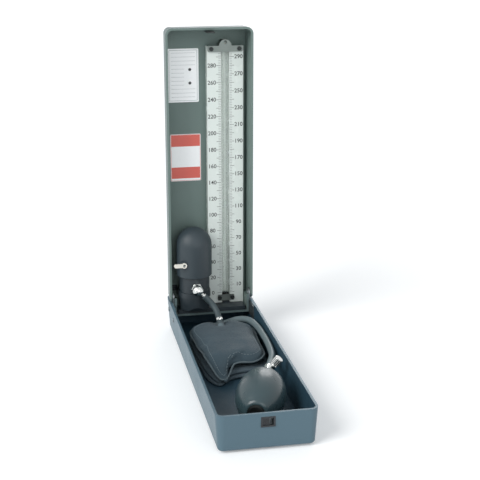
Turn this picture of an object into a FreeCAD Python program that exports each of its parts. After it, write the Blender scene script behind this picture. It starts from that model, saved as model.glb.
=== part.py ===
"""Desk mercury sphygmomanometer: a hinged case with the manometer in its lid and the cuff set in its tray.

Millimetres, +Z up, +X right, the tray's front towards -Y. The origin is on the table,
under the middle of the tray, and the lid stands open at right angles to the tray.
"""
import FreeCAD, Part
import math
import os

V = FreeCAD.Vector
X_AXIS = V(1, 0, 0)
Y_AXIS = V(0, 1, 0)
Z_AXIS = V(0, 0, 1)

# ---- Case ----
wall = 2.5
tray_height = 40.0            # table to rim
foot_height = 2.0
tray_draft = 2.5              # each side wall leans in by this much at the bottom
lid_draft = 1.5               # the lid's back panel is smaller by this much a side
closed_height = 70.0
lid_end_room = 12.9           # arch of the manometer to the inside of the lid's far wall
reservoir_side_room = 6.5     # reservoir to the inside of the lid's left wall
plate_side_room = 5.8         # scale plate to the inside of the lid's right wall
plate_tuck = 1.7              # how far the plate goes in behind the reservoir's side
corner_radius = 8.0
bottom_edge_radius = 3.0
panel_edge_radius = 2.0
step_corner_radius = 3.5      # where the lid narrows to its round end
rim_gap = 0.3                 # closed lid to tray rim
press_gap = 0.02              # round a peg, pin or stub that is pressed into its hole

# ---- Hinge ----
hinge_rise = 6.5              # pivot above the tray rim
barrel_back_gap = 3.0         # tray's outer back to the lid's round end
barrel_inset = 5.1            # the round end is narrower than the lid by this much a side
barrel_reach = 20.0           # degrees that the round end goes on below the pivot
bracket_thickness = 1.2
bracket_clearance = 0.5       # bracket to the lid's round end
bracket_length = 48.0
bracket_forward = 31.0        # part of its length in front of the pivot
bracket_drop = 18.0           # how far the bracket goes down inside the tray
pin_radius = 2.0
pin_head_radius = 3.1
pin_head_height = 1.0
running_clearance = 0.05
washer_radius = 3.4
rivet_radius = 1.5
rivet_head_radius = 2.6
rivet_head_height = 0.8

# ---- Feet ----
foot_radius = 6.0
foot_peg_radius = 2.5
foot_inset_x = 14.0
foot_inset_y = 22.0

# ---- Front latch ----
latch_width = 14.0
latch_opening = 10.6          # height of the opening
latch_bridge = 4.0            # rim left above the opening
bezel_wall = 1.6
slide_gap = 0.25
slide_setback = 0.8           # knob face behind the bezel face
slide_head = 1.6
slide_width = 6.5
slide_ribs = 4
latch_travel = 3.7
striker_thickness = 1.2
striker_width = 9.0
striker_reach = 10.0          # how far the striker hangs below the lid's rim
striker_gap = 0.5
tongue_width = 4.6
tongue_gap = 0.4
riser_thickness = 1.8
guide_wall = 1.6
screw_bite = 1.5              # how deep the guide's screws go into the wall

# ---- Manometer ----
plate_width = 42.4
plate_depth = 9.6
plate_sheet = 1.2
plate_foot = 2.0              # how far the plate reaches below the base's top
plate_above_scale = 2.4       # plate beyond the highest mark
groove_width = 9.6
tube_radius = 4.0
tube_bore = 2.0
tube_recess = 0.2             # glass behind the face of the plate
tube_above_plate = 0.5
zero_rise = 12.0              # zero mark above the base's top
scale_length = 294.6          # zero to 300 mmHg
clamp_height = 7.0
clamp_above_plate = 0.6
clamp_sheet = 2.0
clamp_side_gap = 0.7          # the bar is narrower than the plate by this much a side
clamp_screw_inset = 4.2       # screw to the end of the bar
arch_radius = 7.2
arch_straight = 0.4           # upright part below the round of the arch
window_radius = 1.8           # window in the arch, in front of the cap
window_rise = 1.4             # its middle above the cap's underside
cap_gasket_radius = 4.4
cap_head_radius = 5.0
vent_thickness = 1.2
gasket_height = 1.5
seal_radius = 4.2             # gasket under the glass
foot_clamp_half = 10.0        # half the length of the cross-piece at the foot of the glass
foot_clamp_height = 7.6
foot_clamp_sheet = 1.2
foot_clamp_screw = 7.8        # its screws, from the glass's axis
foot_clamp_drop = 0.5         # its top below the glass
screw_radius = 1.3
screw_head_radius = 2.5
screw_head_height = 1.6
screw_reach = 4.0             # shank beyond the face of the plate

# ---- Mercury reservoir ----
reservoir_radius = 21.0
reservoir_back_gap = 0.5
cup_radius = 18.0
cup_wall = 3.0
cup_height = 48.0
cap_skirt = 6.0               # how far the cap reaches down over the cup
cap_wall = 3.0
cap_cylinder = 37.0           # straight part of the cap, skirt included
fit_gap = 0.2
seat_rise = 8.5               # glass seat above the base
seat_gap = 1.0                # glass seat above the lid's curved end
post_radius = 4.0
base_front = 7.0              # in front of the reservoir's axis
base_back = 9.8               # behind it
passage_setback = 5.0         # mercury passage to the back of the bar
base_end_gap = 1.9            # bar to the inside of the lid's round end
passage_radius = 1.5
channel_radius = 1.0          # narrow part of the passage, up to the glass
passage_drop = 3.0            # passage below the top of the bar
strap_thickness = 1.0
strap_height = 7.0
strap_rise = 1.0              # strap above the start of the lid's flat back
strap_ear = 5.6

# ---- Air tap on the reservoir cap ----
tap_offset = 14.4             # spindle left of the reservoir's axis
tap_rise = 9.5                # spindle above the cup's gasket
tap_boss_radius = 4.6
tap_boss_reach = 2.4          # boss beyond the cap's wall
plug_radius = 2.4
plug_hole = 0.9
lever_length = 11.9
lever_height = 4.4
lever_thickness = 2.0
lever_hub_radius = 3.1

# ---- Air outlet to the hose ----
outlet_rise = 30.0            # outlet above the base's top
outlet_nut_radius = 7.0
outlet_nut_length = 4.0
outlet_ball_radius = 6.5
outlet_stub_radius = 3.4
nozzle_radius = 2.2
nozzle_bore = 1.2
nozzle_length = 7.6
nozzle_yaw = -2.0             # degrees towards the front
nozzle_pitch = -44.0          # degrees down
barb_start = 3.0              # collar's length, where the hose begins

# ---- Hoses ----
hose_radius = 3.6
hose_bore = 2.3

# ---- Cuff ----
cuff_left_room = 11.5         # cuff to the inside of the tray's left wall
cuff_right_room = 8.0         # and to the right wall, where the hose lies
cuff_start = 59.0             # its far end, in front of the tray's back
cuff_front_room = 145.0       # left in front of it for the bulb
cuff_height = 19.6
cuff_far_radius = 34.0
cuff_near_radius = 9.0
cuff_edge_radius = 6.0
floor_gap = 0.3
bladder_inset = 12.0
bladder_height = 3.0

# ---- Bulb and release valve ----
bulb_radius = 25.0
bulb_length = 82.0
bulb_wall = 2.8
egg_over = 2.0                # the egg's full shape beyond the bulb's cut ends
bulb_x = 5.8
bulb_setback = 60.0           # bulb's middle, behind the tray's front
bulb_turn = 19.0              # degrees that its axis is turned from +Y towards +X
neck_radius = 8.5
neck_length = 9.0
neck_bore = 5.0
valve_radius = 6.0
valve_length = 20.0
valve_bore = 1.5
valve_spigot = 8.0            # part of the valve inside the bulb's neck
nipple_length = 14.0
thumb_seat = 13.0             # thumb-screw's axis, from the valve body's bulb end
thumb_tilt = 52.0             # degrees up from level
thumb_stem_radius = 1.9
thumb_radius = 4.6
thumb_length = 8.0
thumb_gap = 1.9               # knob to boss when the screw is out
needle_travel = 1.6
needle_bore = 0.9             # air passage that the needle closes
needle_tip_radius = 0.5
needle_cone = 1.6             # length of the needle's taper
needle_seat = 3.0             # seat, from the valve's axis
needle_clearance = 0.04
needle_shank = 1.2            # plain part above the taper
thumb_boss_radius = 3.6
thumb_boss = 10.0
flute_radius = 0.7
flute_count = 16
end_valve_radius = 7.0
end_valve_length = 10.4
end_valve_seat = 3.5          # from its outer end
outlet_valve_seat = 2.0       # from the valve body's shoulder
ball_radius = 1.9
ball_travel = 0.8
ball_cage_gap = 0.25          # round the ball
ball_seat_depth = 1.1         # of its cone
ball_rest = 0.85              # lowest point of the resting ball above the cone's narrow end

# ---- Worked out from the above ----
hinge_height = tray_height + hinge_rise
barrel_radius = closed_height - hinge_height
inside_radius = barrel_radius - wall
seat_depth = inside_radius - (plate_depth - tube_radius - tube_recess) + seal_radius
tube_seat = hinge_height - math.sqrt(inside_radius ** 2 - seat_depth ** 2) + seat_gap
base_top = tube_seat - seat_rise
plate_bottom = base_top - plate_foot
scale_zero = base_top + zero_rise
strap_bottom = hinge_height + strap_rise
outlet_height = base_top + outlet_rise
cup_top = base_top + cup_height
tap_height = cup_top + gasket_height + tap_rise
plate_top = scale_zero + scale_length + plate_above_scale
arch_top = plate_top + arch_straight + arch_radius
case_length = arch_top + lid_end_room + wall - hinge_height + barrel_back_gap + barrel_radius
case_width = (2 * wall + reservoir_side_room + 2 * reservoir_radius - plate_tuck
              + plate_width + plate_side_room)
back = case_length / 2
front = -case_length / 2
half_width = case_width / 2
hinge_y = back - barrel_back_gap - barrel_radius
pivot = V(0, hinge_y, hinge_height)
lug_radius = hinge_rise - rim_gap
barrel_half_width = half_width - barrel_inset
bracket_x = barrel_half_width + bracket_clearance
inner_back = back - barrel_back_gap - wall
manometer_x = half_width - wall - plate_side_room - plate_width / 2
reservoir_x = wall + reservoir_side_room + reservoir_radius - half_width
base_half_length = barrel_half_width - wall - base_end_gap
tray_floor = foot_height + wall
plate_front = inner_back - plate_depth
tube_y = plate_front + tube_radius + tube_recess
tube_top = plate_top + tube_above_plate
reservoir_y = inner_back - reservoir_back_gap - reservoir_radius
reservoir_axis = V(reservoir_x, reservoir_y, 0)
floor_radius = inside_radius - fit_gap
passage_y = reservoir_y + base_back - passage_setback
tube_bottom = tube_seat + gasket_height


def box(x0, x1, y0, y1, z0, z1):
    return Part.makeBox(x1 - x0, y1 - y0, z1 - z0, V(x0, y0, z0))


def rod(radius, start, end):
    return Part.makeCylinder(radius, (end - start).Length, start, end - start)


def tube(outer, inner, start, end):
    return rod(outer, start, end).cut(rod(inner, start, end))


def revolve(points, centre=V(0, 0, 0)):
    """Solid of revolution about the vertical through centre. A point is (radius, height);
    a pair of points held in one tuple is an arc, given by its middle and its end."""
    here = V(points[0][0], 0, points[0][1])
    first = here
    edges = []
    for point in points[1:]:
        if isinstance(point[0], tuple):
            middle = V(point[0][0], 0, point[0][1])
            end = V(point[1][0], 0, point[1][1])
            edges.append(Part.Arc(here, middle, end).toShape())
        else:
            end = V(point[0], 0, point[1])
            edges.append(Part.LineSegment(here, end).toShape())
        here = end
    if (here - first).Length > 1e-6:
        edges.append(Part.LineSegment(here, first).toShape())
    solid = Part.Face(Part.Wire(edges)).revolve(V(0, 0, 0), Z_AXIS, 360)
    solid.translate(centre)
    return solid


def rounded_outline(x0, x1, y0, y1, z, front_radius, back_radius):
    """Closed rectangle at height z with its front and back corners rounded."""
    corners = [
        (x0, y0, 1, 1, front_radius),
        (x1, y0, -1, 1, front_radius),
        (x1, y1, -1, -1, back_radius),
        (x0, y1, 1, -1, back_radius),
    ]
    turns = []
    for number, (x, y, sx, sy, radius) in enumerate(corners):
        along_x = V(x + sx * radius, y, z)
        along_y = V(x, y + sy * radius, z)
        slant = radius * (1 - math.sqrt(0.5))
        middle = V(x + sx * slant, y + sy * slant, z)
        order = (along_y, middle, along_x) if number % 2 == 0 else (along_x, middle, along_y)
        turns.append(order)
    edges = []
    for number, (start, middle, end) in enumerate(turns):
        following = turns[(number + 1) % 4][0]
        edges.append(Part.Arc(start, middle, end).toShape())
        edges.append(Part.LineSegment(end, following).toShape())
    return Part.Wire(edges)


def drafted_block(low, high):
    """Solid between two rounded outlines, each given as rounded_outline's arguments."""
    return Part.makeLoft([rounded_outline(*low), rounded_outline(*high)], True, True)


def edges_at_height(shape, z):
    found = []
    for edge in shape.Edges:
        limits = edge.BoundBox
        if abs(limits.ZMin - z) < 1e-4 and abs(limits.ZMax - z) < 1e-4:
            found.append(edge)
    return found


def swing_open(shape):
    """Turn a piece of the lid from where it is when closed to where it is when open."""
    opened = shape.copy()
    opened.rotate(pivot, X_AXIS, -90)
    return opened


def both_sides(shape):
    """A piece and its mirror image on the other side of the case."""
    return Part.makeCompound([shape, shape.mirror(V(0, 0, 0), X_AXIS)])


def turned_to(shape, direction, place):
    """Put a shape that was made along +Z, from the origin, along direction at place."""
    moved = shape.copy()
    onto = FreeCAD.Placement(place, FreeCAD.Rotation(Z_AXIS, direction))
    moved.Placement = onto.multiply(shape.Placement)
    return moved


def export(name, shape):
    """Write one node; a group of separate solids stays one node."""
    solids = shape.Solids
    whole = solids[0] if len(solids) == 1 else Part.makeCompound(solids)
    whole.exportStep("parts/" + name + ".step")


# ---- Hose routes ----

def hose_tube(name, points, outer, inner):
    """Tube of straight runs joined by tangent arcs; prints its radii and checks its volume."""
    edges = []
    radii = []
    here = points[0]
    for number in range(1, len(points) - 1):
        before = points[number] - points[number - 1]
        after = points[number + 1] - points[number]
        half_turn = before.getAngle(after) / 2
        shorter = min(before.Length, after.Length)
        radius = 0.45 * shorter / math.tan(half_turn)
        reach = 0.45 * shorter
        inward = before.normalize()
        outward = after.normalize()
        start = points[number] - inward * reach
        end = points[number] + outward * reach
        bisector = (outward - inward).normalize()
        middle = points[number] + bisector * (radius / math.cos(half_turn) - radius)
        edges.append(Part.LineSegment(here, start).toShape())
        edges.append(Part.Arc(start, middle, end).toShape())
        radii.append(radius)
        here = end
    edges.append(Part.LineSegment(here, points[-1]).toShape())
    path = Part.Wire(edges)
    heading = points[1] - points[0]
    rings = [Part.Wire(Part.makeCircle(r, points[0], heading)) for r in (outer, inner)]
    solid = path.makePipeShell([rings[0]], True, False)
    hollow = path.makePipeShell([rings[1]], True, False)
    solid = solid.cut(hollow)
    expected = math.pi * (outer ** 2 - inner ** 2) * path.Length
    shown = " ".join("%.0f" % r for r in radii)
    print("%s: radii %s mm, length %.0f mm, volume ratio %.4f"
          % (name, shown, path.Length, solid.Volume / expected))
    return solid


# ---- Tray ----

def wall_lean(z):
    """How far the tray's walls have drawn in at height z."""
    return tray_draft * (tray_height - z) / (tray_height - foot_height)


latch_top = tray_height - latch_bridge
latch_bottom = latch_top - latch_opening
bracket_bottom = tray_height - bracket_drop
bracket_front = hinge_y - bracket_forward
bracket_back = bracket_front + bracket_length
rivet_places = [
    (bracket_front + 5, bracket_bottom + 5),
    (bracket_back - 5, bracket_bottom + 5),
]
foot_places = [
    (sx * (half_width - foot_inset_x), sy * (back - foot_inset_y))
    for sx in (-1, 1) for sy in (-1, 1)
]


def tray_shell():
    low = half_width - tray_draft
    outer = drafted_block(
        (-low, low, front + tray_draft, back - tray_draft, foot_height,
         corner_radius - tray_draft, corner_radius - tray_draft),
        (-half_width, half_width, front, back, tray_height, corner_radius, corner_radius))
    outer = outer.makeFillet(bottom_edge_radius, edges_at_height(outer, foot_height))
    lean = tray_draft * wall / (tray_height - foot_height)
    inner_low = low - wall + lean
    inner_radius = corner_radius - wall
    inner = drafted_block(
        (-inner_low, inner_low, front + tray_draft + wall - lean, back - tray_draft - wall + lean,
         tray_floor, inner_radius - tray_draft, inner_radius - tray_draft),
        (wall - half_width, half_width - wall, front + wall, back - wall,
         tray_height, inner_radius, inner_radius))
    shell = outer.cut(inner)
    pad = box(bracket_x + bracket_thickness, half_width - wall + 0.5,
              bracket_front, bracket_back, bracket_bottom, tray_height)
    seat = box(0, bracket_x + bracket_thickness, bracket_front - fit_gap, bracket_back + fit_gap,
               bracket_bottom - fit_gap, tray_height + 1)
    shell = shell.fuse(both_sides(pad).Solids).cut(both_sides(seat).Solids)
    opening = box(-latch_width / 2, latch_width / 2, front - 1, front + wall + 2,
                  latch_bottom, latch_top)
    shell = shell.cut(opening)
    for x, y in foot_places:
        peg = rod(foot_peg_radius, V(x, y, foot_height - 1), V(x, y, tray_floor + 1))
        shell = shell.cut(peg)
    for y, z in rivet_places:
        hole = rod(rivet_radius, V(-half_width - 1, y, z), V(half_width + 1, y, z))
        shell = shell.cut(hole)
    for x in (-1, 1):
        hole = rod(screw_radius, V(x * guide_screw_x, latch_screw_end, guide_screw_z),
                   V(x * guide_screw_x, latch_wall_y + wall, guide_screw_z))
        shell = shell.cut(hole)
    return shell.removeSplitter()


def rubber_feet():
    feet = []
    for x, y in foot_places:
        pad = rod(foot_radius, V(x, y, 0), V(x, y, foot_height))
        pad = pad.makeChamfer(0.5, edges_at_height(pad, 0))
        peg = rod(foot_peg_radius - press_gap, V(x, y, foot_height), V(x, y, tray_floor))
        feet.append(pad.fuse(peg))
    return Part.makeCompound(feet)


# ---- Hinge ----

def hinge_bracket():
    """Right-hand bracket: a plate on the tray's side with a round lug up to the pivot."""
    x0 = bracket_x
    x1 = bracket_x + bracket_thickness
    shoulder = tray_height - 1
    plate = box(x0, x1, bracket_front, bracket_back, bracket_bottom, shoulder)
    neck = box(x0, x1, hinge_y - lug_radius, hinge_y + lug_radius, shoulder - 1, hinge_height)
    lug = rod(lug_radius, V(x0, hinge_y, hinge_height), V(x1, hinge_y, hinge_height))
    bracket = plate.fuse([neck, lug])
    bracket = bracket.cut(rod(pin_radius + press_gap, V(x0 - 1, hinge_y, hinge_height),
                              V(x1 + 1, hinge_y, hinge_height)))
    for y, z in rivet_places:
        bracket = bracket.cut(rod(rivet_radius, V(x0 - 1, y, z), V(x1 + 1, y, z)))
    return bracket.removeSplitter()


def hinge_pins():
    inner = bracket_x
    outer = half_width - 0.8
    shank = rod(pin_radius, V(inner, hinge_y, hinge_height), V(outer, hinge_y, hinge_height))
    head = rod(pin_head_radius, V(inner - pin_head_height, hinge_y, hinge_height),
               V(inner, hinge_y, hinge_height))
    return both_sides(shank.fuse(head))


def hinge_washers():
    start = V(bracket_x + bracket_thickness, hinge_y, hinge_height)
    end = V(half_width - wall - 0.55, hinge_y, hinge_height)
    return both_sides(tube(washer_radius, pin_radius + running_clearance, start, end))


def hinge_rivets():
    rivets = []
    for y, z in rivet_places:
        seat = half_width - wall_lean(z + rivet_head_radius)
        shank = rod(rivet_radius, V(bracket_x, y, z), V(seat, y, z))
        outside = rod(rivet_head_radius, V(seat, y, z), V(seat + rivet_head_height, y, z))
        outside = outside.makeFillet(rivet_head_height * 0.6, [outside.Edges[0]])
        rivets.append(shank.fuse(outside))
    return both_sides(Part.makeCompound(rivets))


# ---- Lid, made closed and then swung open ----

def lid_block(inset, low_z, high_z):
    """The lid's full-width part, shrunk by inset on its sides and ends."""
    lean = lid_draft * (high_z - low_z) / (closed_height - tray_height - rim_gap)
    x = half_width - inset
    y0 = front + inset
    y1 = hinge_y + lug_radius - inset
    radius = corner_radius - inset
    step_radius = step_corner_radius - inset
    return drafted_block(
        (-x, x, y0, y1, low_z, radius, step_radius),
        (lean - x, x - lean, y0 + lean, y1, high_z, radius - lean, step_radius))


def lid_barrel():
    """The lid's round end: a cylinder about the pivot, behind it and down to its lower edge."""
    whole = rod(barrel_radius, V(-barrel_half_width, hinge_y, hinge_height),
                V(barrel_half_width, hinge_y, hinge_height))
    drop = barrel_radius * math.sin(math.radians(barrel_reach))
    behind = box(-half_width, half_width, hinge_y, hinge_y + barrel_radius,
                 hinge_height - drop, hinge_height + barrel_radius)
    return whole.common(behind)


def barrel_hollow():
    """Inside of the round end, open forward into the lid."""
    half = barrel_half_width - wall
    inside = barrel_radius - wall
    hollow = rod(inside, V(-half, hinge_y, hinge_height), V(half, hinge_y, hinge_height))
    ahead = box(-half, half, hinge_y - 2 * lug_radius, hinge_y,
                tray_height, hinge_height + inside)
    below = box(-half, half, hinge_y - 2 * lug_radius, hinge_y + lug_radius, 0, hinge_height)
    return hollow.fuse([ahead, below])


def bracket_slot():
    """Slot in the step beside the round end, where the bracket's neck passes."""
    x0 = bracket_x - bracket_clearance * 0.6
    x1 = bracket_x + bracket_thickness + bracket_clearance * 0.6
    slot = box(x0, x1, hinge_y, hinge_y + lug_radius + 1, tray_height,
               hinge_height + lug_radius + bracket_clearance)
    return both_sides(slot)


def lid_shell():
    low = tray_height + rim_gap
    outer = lid_block(0, low, closed_height)
    outer = outer.makeFillet(panel_edge_radius, edges_at_height(outer, closed_height))
    corner = box(-half_width - 1, half_width + 1, hinge_y, back, low - 1, hinge_height)
    lug = rod(lug_radius, V(-half_width - 1, hinge_y, hinge_height),
              V(half_width + 1, hinge_y, hinge_height))
    outer = outer.cut(corner.cut(lug))
    outer = outer.fuse(lid_barrel())
    inner = lid_block(wall, low, closed_height - wall)
    shell = outer.cut([inner, barrel_hollow()]).cut(bracket_slot().Solids)
    boss = box(-striker_width / 2 - 1, striker_width / 2 + 1, front + 0.5, striker_y,
               low + 4, low + 17)
    shell = shell.fuse(boss)
    for z in striker_screw_z:
        hole = rod(screw_radius, V(0, striker_y - 3, z), V(0, striker_y + 1, z))
        shell = shell.cut(hole)
    hole = rod(pin_radius + running_clearance, V(-half_width - 1, hinge_y, hinge_height),
               V(half_width + 1, hinge_y, hinge_height))
    shell = shell.cut(hole)
    return swing_open(shell.removeSplitter())


# ---- Front latch ----

slide_low = latch_bottom + bezel_wall + slide_gap
slide_high = latch_top - bezel_wall - slide_gap
slide_left = bezel_wall + slide_gap - latch_width / 2
slide_right = slide_left + slide_width
slide_face = front + slide_setback
slide_back = slide_face + slide_head
latch_wall_y = front + wall + wall_lean(latch_bottom)
striker_y = latch_wall_y + striker_gap
riser_front = striker_y + striker_thickness + 0.3
riser_back = riser_front + riser_thickness
striker_low = tray_height + rim_gap - striker_reach
stem_top = striker_low - striker_gap
notch_low = striker_low + 1.6
notch_high = notch_low + 2.6
tongue_right = -striker_width / 2 - tongue_gap
tongue_left = tongue_right - tongue_width
guide_half = -tongue_left + tongue_gap
guide_front = latch_wall_y + 0.05
guide_screw_x = guide_half + guide_wall + 3.6
guide_screw_z = latch_bottom + latch_opening / 2
latch_screw_end = latch_wall_y - screw_bite
striker_screw_z = [tray_height + rim_gap + 7.5, tray_height + rim_gap + 13.5]


def latch_bezel():
    """Lining of the front opening, standing a little proud of the wall."""
    half = latch_width / 2
    body = box(-half, half, front, latch_wall_y - 0.05, latch_bottom, latch_top)
    hole = box(bezel_wall - half, half - bezel_wall, front - 2, front + wall + 2,
               latch_bottom + bezel_wall, latch_top - bezel_wall)
    return body.cut(hole)


def latch_slide():
    """Ribbed knob, stem and riser in one moulding; its tongue moves into the striker's notch."""
    knob = box(slide_left, slide_right, slide_face, slide_back, slide_low, slide_high)
    pitch = slide_width / (slide_ribs + 1)
    grooves = []
    for number in range(1, slide_ribs + 1):
        x = slide_left + number * pitch
        grooves.append(box(x - 0.35, x + 0.35, slide_face - 1, slide_face + 0.5,
                           slide_low + 0.8, slide_high - 0.8))
    knob = knob.cut(grooves)
    stem = box(slide_left, slide_right, slide_back, riser_back, slide_low, stem_top)
    foot = box(tongue_left, slide_right, riser_front, riser_back, slide_low, stem_top)
    riser = box(tongue_left, tongue_right + 1.5, riser_front, riser_back, slide_low, notch_high)
    tongue = box(tongue_left, tongue_right, striker_y, riser_front,
                 notch_low + 0.4, notch_high - 0.4)
    return knob.fuse([stem, foot, riser, tongue]).removeSplitter()


def latch_guide():
    """Bracket behind the slide: floor, two cheeks, a back wall and two screw feet."""
    low = slide_low - 0.05
    high = notch_high + 0.5
    back_face = riser_back + 0.15
    body = box(-guide_half - guide_wall, guide_half + guide_wall, guide_front,
               back_face + guide_wall, low - guide_wall * 0.8, high)
    body = body.cut(box(-guide_half, guide_half, guide_front - 1, back_face, low, high + 1))
    foot = box(guide_half, guide_screw_x + 3.4, guide_front, guide_front + guide_wall,
               guide_screw_z - 4, guide_screw_z + 4)
    body = body.fuse(both_sides(foot).Solids)
    body = body.cut(box(-guide_half, guide_half, guide_front - 1, back_face, low, high + 1))
    for x in (-1, 1):
        body = body.cut(rod(screw_radius, V(x * guide_screw_x, guide_front - 1, guide_screw_z),
                            V(x * guide_screw_x, guide_front + 3, guide_screw_z)))
    return body.removeSplitter()


def latch_screws():
    y0 = guide_front + guide_wall
    shank = rod(screw_radius, V(guide_screw_x, latch_screw_end, guide_screw_z),
                V(guide_screw_x, y0, guide_screw_z))
    head = rod(screw_head_radius, V(guide_screw_x, y0, guide_screw_z),
               V(guide_screw_x, y0 + screw_head_height, guide_screw_z))
    return both_sides(shank.fuse(head))


def lid_striker():
    """Flat steel tongue with a notch in one edge, on the inside of the lid's front wall."""
    half = striker_width / 2
    plate = box(-half, half, striker_y, striker_y + striker_thickness,
                striker_low, tray_height + rim_gap + 16.5)
    notch = box(-half - 1, tongue_right + latch_travel + tongue_gap + 0.6, striker_y - 1,
                striker_y + 3, notch_low, notch_high)
    plate = plate.cut(notch)
    for z in striker_screw_z:
        plate = plate.cut(rod(screw_radius, V(0, striker_y - 1, z), V(0, striker_y + 3, z)))
    return swing_open(plate)


def striker_screws():
    screws = []
    top = striker_y + striker_thickness
    for z in striker_screw_z:
        shank = rod(screw_radius, V(0, striker_y - 2.8, z), V(0, top, z))
        screws.append(shank.fuse(rod(screw_head_radius, V(0, top, z), V(0, top + 1.2, z))))
    return swing_open(Part.makeCompound(screws))


# ---- Manometer ----

def inside_lid_floor(shape):
    """Trim a piece that stands on the lid's round end to the inside of that curve."""
    reach = half_width
    room = rod(floor_radius, V(-reach, hinge_y, hinge_height), V(reach, hinge_y, hinge_height))
    above = box(-reach, reach, front, inner_back, hinge_height, hinge_height + case_length)
    return shape.common(room.fuse(above))


def scale_plate():
    """Folded channel: two flat wings for the figures and a groove between for the glass."""
    half = plate_width / 2
    x0 = manometer_x - half
    x1 = manometer_x + half
    plate = box(x0, x1, plate_front, inner_back, plate_bottom, plate_top)
    groove = groove_width / 2
    back_of_groove = inner_back - plate_sheet
    plate = plate.cut(box(manometer_x - groove, manometer_x + groove, plate_front - 1,
                          back_of_groove, 0, plate_top + 1))
    for side in (-1, 1):
        inner = manometer_x + side * (groove + plate_sheet)
        outer = manometer_x + side * (half - plate_sheet)
        pocket = box(min(inner, outer), max(inner, outer), plate_front + plate_sheet,
                     inner_back + 1, 0, plate_top + 1)
        plate = plate.cut(pocket)
        for offset, z in ((clamp_screw_offset, clamp_screw_z), (foot_clamp_screw, foot_screw_z)):
            x = manometer_x + side * offset
            hole = rod(screw_radius, V(x, plate_front - 1, z), V(x, plate_front + plate_sheet + 1, z))
            plate = plate.cut(hole)
    return inside_lid_floor(plate)


def glass_tube():
    return tube(tube_radius, tube_bore, V(manometer_x, tube_y, tube_bottom),
                V(manometer_x, tube_y, tube_top))


def mercury_column():
    return rod(tube_bore - 0.05, V(manometer_x, tube_y, tube_bottom),
               V(manometer_x, tube_y, scale_zero))


def ring_gasket(height_from, outer, inner, x, y):
    return tube(outer, inner, V(x, y, height_from), V(x, y, height_from + gasket_height))


link_top = base_top + 1.0


def manometer_base():
    """Bar under the reservoir and the glass, with the mercury passage drilled along it."""
    bar_back = reservoir_y + base_back
    bar = box(-base_half_length, base_half_length, reservoir_y - base_front, bar_back,
              hinge_height - barrel_radius, base_top)
    link = box(manometer_x - post_radius, manometer_x + post_radius, bar_back - 1, tube_y,
               hinge_height - barrel_radius, link_top)
    post = rod(post_radius, V(manometer_x, tube_y, hinge_height - barrel_radius),
               V(manometer_x, tube_y, tube_seat))
    base = inside_lid_floor(bar.fuse([link, post]))
    level = base_top - passage_drop
    bend = V(manometer_x, bar_back - channel_radius, level)
    riser = V(manometer_x, tube_y, tube_seat - 5.5)
    drillings = [
        rod(passage_radius, riser, V(manometer_x, tube_y, tube_seat + 1)),
        rod(channel_radius, V(manometer_x, passage_y, level), bend),
        rod(channel_radius, bend, riser),
        rod(passage_radius, V(reservoir_x - 1, passage_y, level),
            V(manometer_x + 1, passage_y, level)),
        rod(passage_radius, V(reservoir_x, passage_y, level), V(reservoir_x, passage_y, base_top + 1)),
    ]
    return base.cut(drillings)


clamp_top = plate_top + clamp_above_plate
clamp_low = clamp_top - clamp_height
clamp_screw_z = clamp_low + clamp_height / 2
clamp_half = plate_width / 2 - clamp_side_gap
clamp_screw_offset = clamp_half - clamp_screw_inset
cap_seat = tube_top + gasket_height
window_height = cap_seat + vent_thickness + window_rise


def tube_clamp():
    """Cross-bar on the top of the scale with an arched housing for the glass and its cap."""
    y0 = plate_front - clamp_sheet
    bar = box(manometer_x - clamp_half, manometer_x + clamp_half, y0, plate_front,
              clamp_low, clamp_top)
    bar = bar.makeFillet(2.0, [e for e in bar.Edges if is_along_y(e)])
    arch_centre = arch_top - arch_radius
    arch = rod(arch_radius, V(manometer_x, y0, arch_centre), V(manometer_x, plate_front, arch_centre))
    block = box(manometer_x - arch_radius, manometer_x + arch_radius, y0, inner_back,
                plate_top + 0.1, arch_centre)
    crown = rod(arch_radius, V(manometer_x, plate_front, arch_centre),
                V(manometer_x, inner_back, arch_centre))
    crown = crown.common(box(manometer_x - arch_radius, manometer_x + arch_radius, plate_front,
                             inner_back, plate_top + 0.1, arch_top))
    clamp = bar.fuse([arch, block, crown])
    well = rod(cap_head_radius + fit_gap, V(manometer_x, tube_y, plate_top),
               V(manometer_x, tube_y, arch_top + 1))
    window = rod(window_radius, V(manometer_x, y0 - 1, window_height),
                 V(manometer_x, tube_y, window_height))
    clamp = clamp.cut([well, window])
    for side in (-1, 1):
        x = manometer_x + side * clamp_screw_offset
        clamp = clamp.cut(rod(screw_radius, V(x, y0 - 1, clamp_screw_z),
                              V(x, plate_front + 1, clamp_screw_z)))
    return clamp.removeSplitter()


def is_along_y(edge):
    limits = edge.BoundBox
    return limits.XLength < 1e-4 and limits.ZLength < 1e-4


def slotted_screw(x, z, seat):
    """Cheese-head screw along Y with its head on the face at seat and a slot in the head."""
    shank = rod(screw_radius, V(x, seat, z), V(x, plate_front + screw_reach, z))
    head = rod(screw_head_radius, V(x, seat - screw_head_height, z), V(x, seat, z))
    head = head.makeFillet(0.5, [head.Edges[0], head.Edges[2]])
    slot = box(x - screw_head_radius, x + screw_head_radius, seat - screw_head_height - 1,
               seat - screw_head_height + 0.6, z - 0.35, z + 0.35)
    return shank.fuse(head).cut(slot)


def clamp_screws():
    seat = plate_front - clamp_sheet
    return Part.makeCompound([
        slotted_screw(manometer_x + side * clamp_screw_offset, clamp_screw_z, seat)
        for side in (-1, 1)])


foot_clamp_top = tube_bottom - foot_clamp_drop
foot_clamp_low = foot_clamp_top - foot_clamp_height
foot_screw_z = foot_clamp_top - foot_clamp_height / 2


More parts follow.
